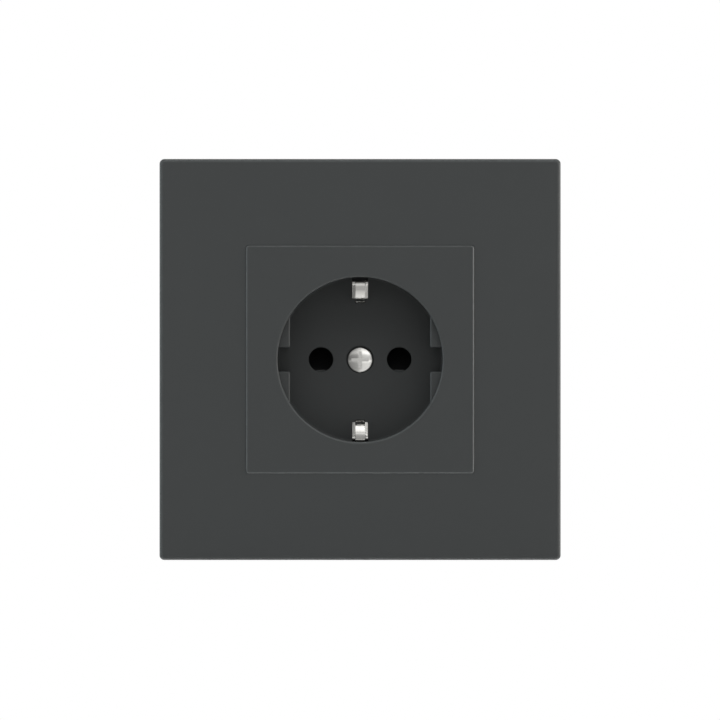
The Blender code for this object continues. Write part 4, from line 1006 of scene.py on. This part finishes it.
def domed(radius, top, height, edge):
    """Rows of a domed head: a sphere of radius (r2 + h2) / 2h, then an arc that turns to the rim."""
    sphere = (radius**2 + height**2) / (2 * height)
    end = (radius - edge) / (1 - edge / sphere)
    slope = np.arcsin(end / sphere)
    angle = np.linspace(DOME_START, slope, DOME_ROWS)
    turn = np.linspace(slope, np.pi / 2, EDGE_STEPS + 1)[1:]
    rows = np.concatenate([sphere * np.sin(angle), end + edge * (np.sin(turn) - np.sin(slope))])
    rim = sphere * (1 - np.cos(slope)) + edge * (np.cos(slope) - np.cos(turn))
    return rows, top + np.concatenate([sphere * (1 - np.cos(angle)), rim])


class OUTLET_OT_centre_screw(bpy.types.Operator):
    """Makes the domed centre screw"""

    bl_idname = "outlet.centre_screw"
    bl_label = "Centre screw"

    def execute(self, context):
        sizes = context.scene.outlet_sizes
        seat = HEAD_TOP_Y + sizes.head_height
        dome, dome_y = domed(HEAD_RADIUS, HEAD_TOP_Y, sizes.screw_dome, sizes.soft_edge / 3)
        shank = sizes.screw_shank / 2
        rise, rise_y = thread(shank, seat, SCREW_END_Y, sizes, RING_COLUMNS)
        flat = np.full((3, RING_COLUMNS), HEAD_RADIUS)
        flat[1] -= sizes.soft_edge
        flat[2] = shank
        radius = np.concatenate([np.repeat(dome[:, None], RING_COLUMNS, 1), flat, rise[1:]])
        y = np.concatenate([dome_y, [seat - sizes.soft_edge, seat, seat], rise_y[1:]])
        made = solid("centre_screw_turned", patch(turned(radius, y, z=-sizes.screw_sag)))
        cutters = []
        for across in (0, 1):
            arm = CROSS_LENGTH_TAPER * sizes.cross_length / 2
            half = CROSS_WIDTH_TAPER * sizes.cross_width / 2
            spans = (arm, half) if across else (half, arm)
            loops = rectangle_loops(*spans, np.full(3, sizes.cross_width / 5), EDGE_STEPS)
            depth = HEAD_TOP_Y + np.array([-1.0, 0.0, 1.0]) * sizes.cross_depth
            cutters.append(solid("cross", patch(at_depth(loops, depth) - [0.0, 0.0, sizes.screw_sag])))
        carve(made, *cutters)
        finish_piece(made, "Bright plate", "insert", "nickel_steel", "centre_screw", flat_faces=False)
        return {"FINISHED"}


class OUTLET_OT_earth_springs(bpy.types.Operator):
    """Makes the two sprung earth contacts"""

    bl_idname = "outlet.earth_springs"
    bl_label = "Earth contacts"

    def execute(self, context):
        sizes = context.scene.outlet_sizes
        well = sizes.well_diameter / 2
        thickness = sizes.earth_thickness
        foot_y = FOOT_BACK_Y - thickness / 2
        root = well - sizes.earth_root
        tip_y = FRONT_Y + sizes.earth_tip_drop
        lip = bent_path((well - sizes.earth_tip, tip_y), LIP_STATIONS, LIP_ANGLES, LIP_POINTS)
        floor = FLOOR_BACK_Y - sizes.well_floor
        shelf = well - sizes.earth_shelf
        shelf_end = shelf - sizes.earth_shelf_length
        shelf_y = floor + thickness / 2 - sizes.earth_shelf_lift
        shelf_back = shelf_y + sizes.earth_shelf_length * np.tan(SHELF_SLOPE)
        bend = SHELF_BEND * thickness
        arm = rounded_path(
            [lip[-1], (shelf, shelf_y), (shelf_end, shelf_back), (root, foot_y), (FOOT_INNER, foot_y)],
            [0.0, bend, bend, ROOT_BEND * thickness, 0.0], closed=False, steps=BEND_STEPS,
        )
        strip = np.concatenate([lip, arm[1:]])
        half = sizes.earth_strip / 2
        foot = np.interp(strip[:, 0], [root - 2 * thickness, root - thickness], [FOOT_HALF, half])
        width = np.where(strip[:, 1] > foot_y - thickness, foot, half)
        rail = bent_path((well - sizes.earth_rail_tip, tip_y), RAIL_STATIONS, RAIL_ANGLES, RAIL_POINTS)
        last = well - sizes.earth_reach
        end = (last, rail[-1, 1] + (rail[-1, 0] - last) * np.tan(RAIL_SLOPE))
        rail = np.concatenate([rail, np.linspace(rail[-1], end, RAIL_END_POINTS)[1:]])
        tilt = np.interp(well - rail[:, 0], sizes.earth_rail_tip + LEAN_STATIONS, [0.0, RAIL_LEAN])
        side_x = (sizes.earth_strip + sizes.earth_rail) / 2
        for side, node in ((1, "earth_spring_upper"), (-1, "earth_spring_lower")):
            middle = ribbon(strip, width, thickness, 0.0, 0.0, side)
            parts = [patch(middle - [0.0, 0.0, sizes.earth_sag])]
            for way in (-1, 1):
                bar = ribbon(rail, sizes.earth_rail / 2, thickness, way * tilt, way * side_x, side)
                parts.append(patch(bar - [0.0, 0.0, sizes.rail_sag]))
            made = solid(f"{node}_strip", *parts)
            finish_piece(
                made, "Nickel plate", node, "nickel_steel", node, flat_faces=False, crease=STRIP_CREASE
            )
        return {"FINISHED"}


class OUTLET_OT_claw_screws(bpy.types.Operator):
    """Makes the two slotted claw screws"""

    bl_idname = "outlet.claw_screws"
    bl_label = "Claw screws"

    def execute(self, context):
        sizes = context.scene.outlet_sizes
        seat = CLAW_HEAD_Y + sizes.claw_head_height
        edge = sizes.soft_edge * 2
        head = rounded_path(
            [(edge, CLAW_HEAD_Y), (CLAW_HEAD_RADIUS, CLAW_HEAD_Y), (CLAW_HEAD_RADIUS, seat),
             (sizes.screw_shank / 2, seat)],
            [edge, edge, edge / 2, edge], closed=False,
        )
        rise, rise_y = thread(sizes.screw_shank / 2, seat, CLAW_END_Y, sizes)
        radius = np.concatenate([np.repeat(head[:, :1], THREAD_COLUMNS, 1), rise[1:]])
        y = np.concatenate([head[:, 1], rise_y[1:]])
        slot = sizes.claw_slot / 2
        for side, node in ((-1, "claw_screw_left"), (1, "claw_screw_right")):
            x = side * CLAW_X
            made = solid(f"{node}_turned", patch(turned(radius, y, x, columns=THREAD_COLUMNS)))
            reach = (x - 2 * CLAW_HEAD_RADIUS, x + 2 * CLAW_HEAD_RADIUS)
            depth = (CLAW_HEAD_Y - sizes.claw_slot, CLAW_HEAD_Y + sizes.claw_head_height / 2)
            carve(made, solid("slot", patch(block(reach, depth, (-slot, slot), sizes.soft_edge / 2))))
            finish_piece(made, "Zinc plate", node, "zinc_steel", node, flat_faces=False)
        return {"FINISHED"}


class OUTLET_OT_rivets(bpy.types.Operator):
    """Makes the rivets of the ring and of the earth strap"""

    bl_idname = "outlet.rivets"
    bl_label = "Rivets"

    def execute(self, context):
        sizes = context.scene.outlet_sizes
        ring = [f"ring_rivet_{row}_{side}" for row in ("upper", "lower") for side in ("left", "right")]
        strap = ["strap_rivet_left", "strap_rivet_right"]
        for node in ring + strap:
            low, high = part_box(node)
            x, z = (low.x + high.x) / 2, (low.z + high.z) / 2
            head = (high.x - low.x) / 2
            height = sizes.rivet_head if node in ring else sizes.earth_thickness
            shank = sizes.ring_shank if node in ring else sizes.strap_shank
            angle = np.linspace(RIVET_START, np.pi / 2, RIVET_ROWS)
            radius = np.concatenate([head * np.sin(angle), [head, shank, shank, shank * RIVET_TAPER]])
            dome = low.y + RIVET_DOME * height * (1 - np.cos(angle))
            seat = low.y + height
            y = np.concatenate([dome, [seat, seat, high.y - sizes.soft_edge, high.y]])
            made = solid(f"{node}_headed", patch(turned(radius, y, x, z, THREAD_COLUMNS)))
            plate = ("Zinc plate", "zinc_steel") if node in ring else ("Nickel plate", "nickel_steel")
            finish_piece(made, plate[0], "insert", plate[1], node, flat_faces=False)
        return {"FINISHED"}


class OUTLET_OT_shutter_springs(bpy.types.Operator):
    """Makes the two coils under the shutter"""

    bl_idname = "outlet.shutter_springs"
    bl_label = "Shutter coils"

    def execute(self, context):
        sizes = context.scene.outlet_sizes
        for node in ("shutter_spring_left", "shutter_spring_right"):
            low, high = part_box(node)
            centre = ((low.x + high.x) / 2, (low.y + high.y) / 2)
            radius = (high.x - low.x - sizes.coil_wire) / 2
            made = solid(f"{node}_coil", patch(coil(centre, radius, low.z, high.z, sizes.coil_wire)))
            finish_piece(made, "Spring steel", "insert", "spring_steel", node, flat_faces=False)
            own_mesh(made)
        return {"FINISHED"}


class OUTLET_OT_mouldings(bpy.types.Operator):
    """Softens the insert's mouldings: base, rear cover, shutter and release buttons"""

    bl_idname = "outlet.mouldings"
    bl_label = "Insert mouldings"

    def execute(self, context):
        sizes = context.scene.outlet_sizes
        edge = sizes.soft_edge
        for node in ("socket_base", "rear_cover"):
            softened(node, "moulding", edge, "Black thermoset", "insert", "insert_plastic")
        fine = sizes.fine_edge
        shutter = softened("shutter", "moulding", fine, "Black thermoset", "shutter", "insert_plastic")
        draw_in(shutter, sizes.pin_spacing / 2, sizes.slide_gap)
        for node in ("release_button_line", "release_button_neutral", "release_button_earth"):
            softened(node, "moulding", edge, "Grey plastic", node, "button_plastic")
        return {"FINISHED"}


class OUTLET_OT_sheet_metal(bpy.types.Operator):
    """Softens the stamped pieces: ring, strap, contacts, clamps, claws and claw nuts"""

    bl_idname = "outlet.sheet_metal"
    bl_label = "Stamped pieces"

    def execute(self, context):
        sizes = context.scene.outlet_sizes
        edge = sizes.soft_edge / 2
        softened("support_ring", "stamping", edge, "Zinc plate", "insert", "zinc_steel")
        softened("earth_strap", "stamping", edge, "Nickel plate", "insert", "nickel_steel")
        for name in ("line", "neutral"):
            softened(f"{name}_contact", "stamping", sizes.fine_edge, "Brass sheet", "insert", "brass")
        for name in ("line", "neutral", "earth"):
            softened(f"clamp_spring_{name}", "stamping", edge, "Spring steel", "insert", "spring_steel")
        for name in ("left", "right"):
            softened(f"claw_{name}", "stamping", edge, "Zinc plate", f"claw_{name}", "zinc_steel")
            softened(f"claw_nut_{name}", "turning", edge, "Brass sheet", f"claw_nut_{name}", "brass")
        return {"FINISHED"}


class OutletStudio(bpy.types.PropertyGroup):
    """Light and camera of the studio."""

    view_width: length("View width", "Width of the picture at the object", 0.17467)
    view_shift_x: shift("View shift x", "Camera's place to the right of the outlet's centre", -0.00002)
    view_shift_z: shift("View shift z", "Camera's place above the outlet's centre", -0.00012)
    ambient: share("Ambient", "Light from all round on matt surfaces", 0.525)
    key_power: power("Key power", "Power of the large light above the front", 27.0)
    side_power: power("Side power", "Power of the lights on both sides", 13.0)
    front_power: power("Front power", "Power of the light in front", 8.0)
    card_power: share("Card power", "Brightness of the card that the metal reflects", 0.54)


def area_light(name, place, energy, size, tint, glossy):
    """Rectangular light at a place, turned to the outlet."""
    data = bpy.data.lights.new(name, "AREA")
    data.shape = "RECTANGLE"
    data.energy = energy
    data.size, data.size_y = size
    data.color = tint
    made = add_object(name, data)
    made.location = place
    made.rotation_euler = (-Vector(place)).to_track_quat("-Z", "Y").to_euler()
    made.visible_glossy = glossy


def stage_plane(name, half_x, near, far):
    """Rectangle of the stage, as wide as twice half_x, between two lines at their places (y, z)."""
    mesh = bpy.data.meshes.new(name)
    corners = [(-half_x, *near), (half_x, *near), (half_x, *far), (-half_x, *far)]
    mesh.from_pydata(corners, [], [(0, 1, 2, 3)])
    return add_object(name, mesh)


def glowing_card(name, half_x, near, far, strength):
    """Glowing rectangle that only reflections see, as its node tree and its emission node."""
    made = stage_plane(name, half_x, near, far)
    material = bpy.data.materials.new(name)
    material.use_nodes = True
    material.cycles.emission_sampling = "NONE"
    tree = material.node_tree
    tree.nodes.clear()
    glow = add_node(tree, "ShaderNodeEmission", {"Color": WHITE, "Strength": strength})
    add_node(tree, "ShaderNodeOutputMaterial", {"Surface": glow.outputs[0]})
    made.data.materials.append(material)
    made.visible_camera = False
    made.visible_diffuse = False
    made.visible_shadow = False
    return tree, glow


def graded(tree, value, stops):
    """Brightness over CARD_TOP, running evenly between stops (place in metres, brightness)."""
    places, levels = np.array(stops).T
    ramp = add_node(tree, "ShaderNodeValToRGB", {"Fac": mapped(tree, value, (places[0], places[-1]))})
    elements = ramp.color_ramp.elements
    for place, level in zip((places - places[0]) / (places[-1] - places[0]), levels / CARD_TOP):
        element = elements[0] if place == 0 else elements[-1] if place == 1 else elements.new(place)
        element.color = (level, level, level, 1.0)
    return ramp.outputs["Color"]


class OUTLET_OT_studio(bpy.types.Operator):
    """Sets up the floor, the light and the camera"""

    bl_idname = "outlet.studio"
    bl_label = "Studio"

    def execute(self, context):
        studio = context.scene.outlet_studio
        context.scene.view_settings.view_transform = "Standard"
        world = bpy.data.worlds.new("Studio")
        world.use_nodes = True
        tree = world.node_tree
        tree.nodes.clear()
        rays = add_node(tree, "ShaderNodeLightPath").outputs
        seen = calculated(tree, "MAXIMUM", rays["Is Camera Ray"], rays["Is Glossy Ray"])
        seen = calculated(tree, "MAXIMUM", seen, rays["Is Transmission Ray"])
        around = add_node(tree, "ShaderNodeBackground", {"Color": WHITE, "Strength": studio.ambient})
        white = add_node(tree, "ShaderNodeBackground", {"Color": WHITE, "Strength": 1.0})
        mix = add_node(tree, "ShaderNodeMixShader", {0: seen, 1: around.outputs[0], 2: white.outputs[0]})
        add_node(tree, "ShaderNodeOutputWorld", {"Surface": mix.outputs[0]})
        context.scene.world = world

        for name, place, setting, factor, size, tint, glossy in LIGHTS:
            area_light(name, place, factor * getattr(studio, setting), size, tint, glossy)

        strength = CARD_TOP**2 * studio.card_power
        near, far = ((CARD_Y, height) for height in CARD_HEIGHTS)
        tree, glow = glowing_card("reflected_card", CARD_HALF, near, far, strength)
        place = add_node(tree, "ShaderNodeTexCoord").outputs["Object"]
        parts = add_node(tree, "ShaderNodeSeparateXYZ", {0: place}).outputs
        across, up = graded(tree, parts["X"], CARD_ACROSS), graded(tree, parts["Z"], CARD_UP)
        set_inputs(tree, glow, {"Color": mixed(tree, 1.0, across, up, "MULTIPLY")})
        for name, height, strength in LEVEL_CARDS:
            near, far = ((y, height) for y in LEVEL_CARD_DEPTHS)
            glowing_card(name, LEVEL_CARD_HALF, near, far, strength)

        low = CAD_BOX[0].z
        floor = stage_plane("floor", FLOOR_HALF, (-FLOOR_HALF, low), (FLOOR_HALF, low))
        material, tree, shader, place = new_material("Pale floor")
        tone = noise(tree, place, FLOOR_SCALE, detail=2.0)
        base = tinted(tree, FLOOR_TINT, FLOOR_CONTRAST, tone)
        set_inputs(tree, shader, {"Base Color": base, "Roughness": FLOOR_ROUGHNESS})
        floor.data.materials.append(material)
        floor.visible_glossy = False

        data = bpy.data.cameras.new("Camera")
        data.type = "ORTHO"
        data.ortho_scale = studio.view_width
        camera = add_object("Camera", data)
        camera.location = (studio.view_shift_x, CAMERA_Y, studio.view_shift_z)
        camera.rotation_euler = (np.pi / 2, 0.0, 0.0)
        context.scene.camera = camera
        return {"FINISHED"}


OPERATORS = (
    OUTLET_OT_finishes, OUTLET_OT_cover_frame, OUTLET_OT_centre_plate, OUTLET_OT_centre_screw,
    OUTLET_OT_earth_springs, OUTLET_OT_claw_screws, OUTLET_OT_rivets, OUTLET_OT_shutter_springs,
    OUTLET_OT_mouldings, OUTLET_OT_sheet_metal, OUTLET_OT_studio,
)


class OUTLET_PT_panel(bpy.types.Panel):
    """Lists the pieces and their settings"""

    bl_label = "Wall socket outlet"
    bl_idname = "OUTLET_PT_panel"
    bl_space_type = "VIEW_3D"
    bl_region_type = "UI"
    bl_category = "Outlet"

    def draw(self, context):
        for operator in OPERATORS:
            self.layout.operator(operator.bl_idname)
        for key in SETTINGS:
            settings = getattr(context.scene, key)
            column = self.layout.column(align=True)
            for name in settings.__annotations__:
                column.prop(settings, name)


SETTINGS = {"outlet_sizes": OutletSizes, "outlet_colours": OutletColours, "outlet_studio": OutletStudio}
CLASSES = (*SETTINGS.values(), *OPERATORS, OUTLET_PT_panel)


def register():
    for item in CLASSES:
        bpy.utils.register_class(item)
    for key, group in SETTINGS.items():
        setattr(bpy.types.Scene, key, bpy.props.PointerProperty(type=group))


def unregister():
    for key in SETTINGS:
        delattr(bpy.types.Scene, key)
    for item in reversed(CLASSES):
        bpy.utils.unregister_class(item)


def main():
    register()
    for operator in OPERATORS:
        group, name = operator.bl_idname.split(".")
        getattr(getattr(bpy.ops, group), name)()


if __name__ == "__main__":
    main()
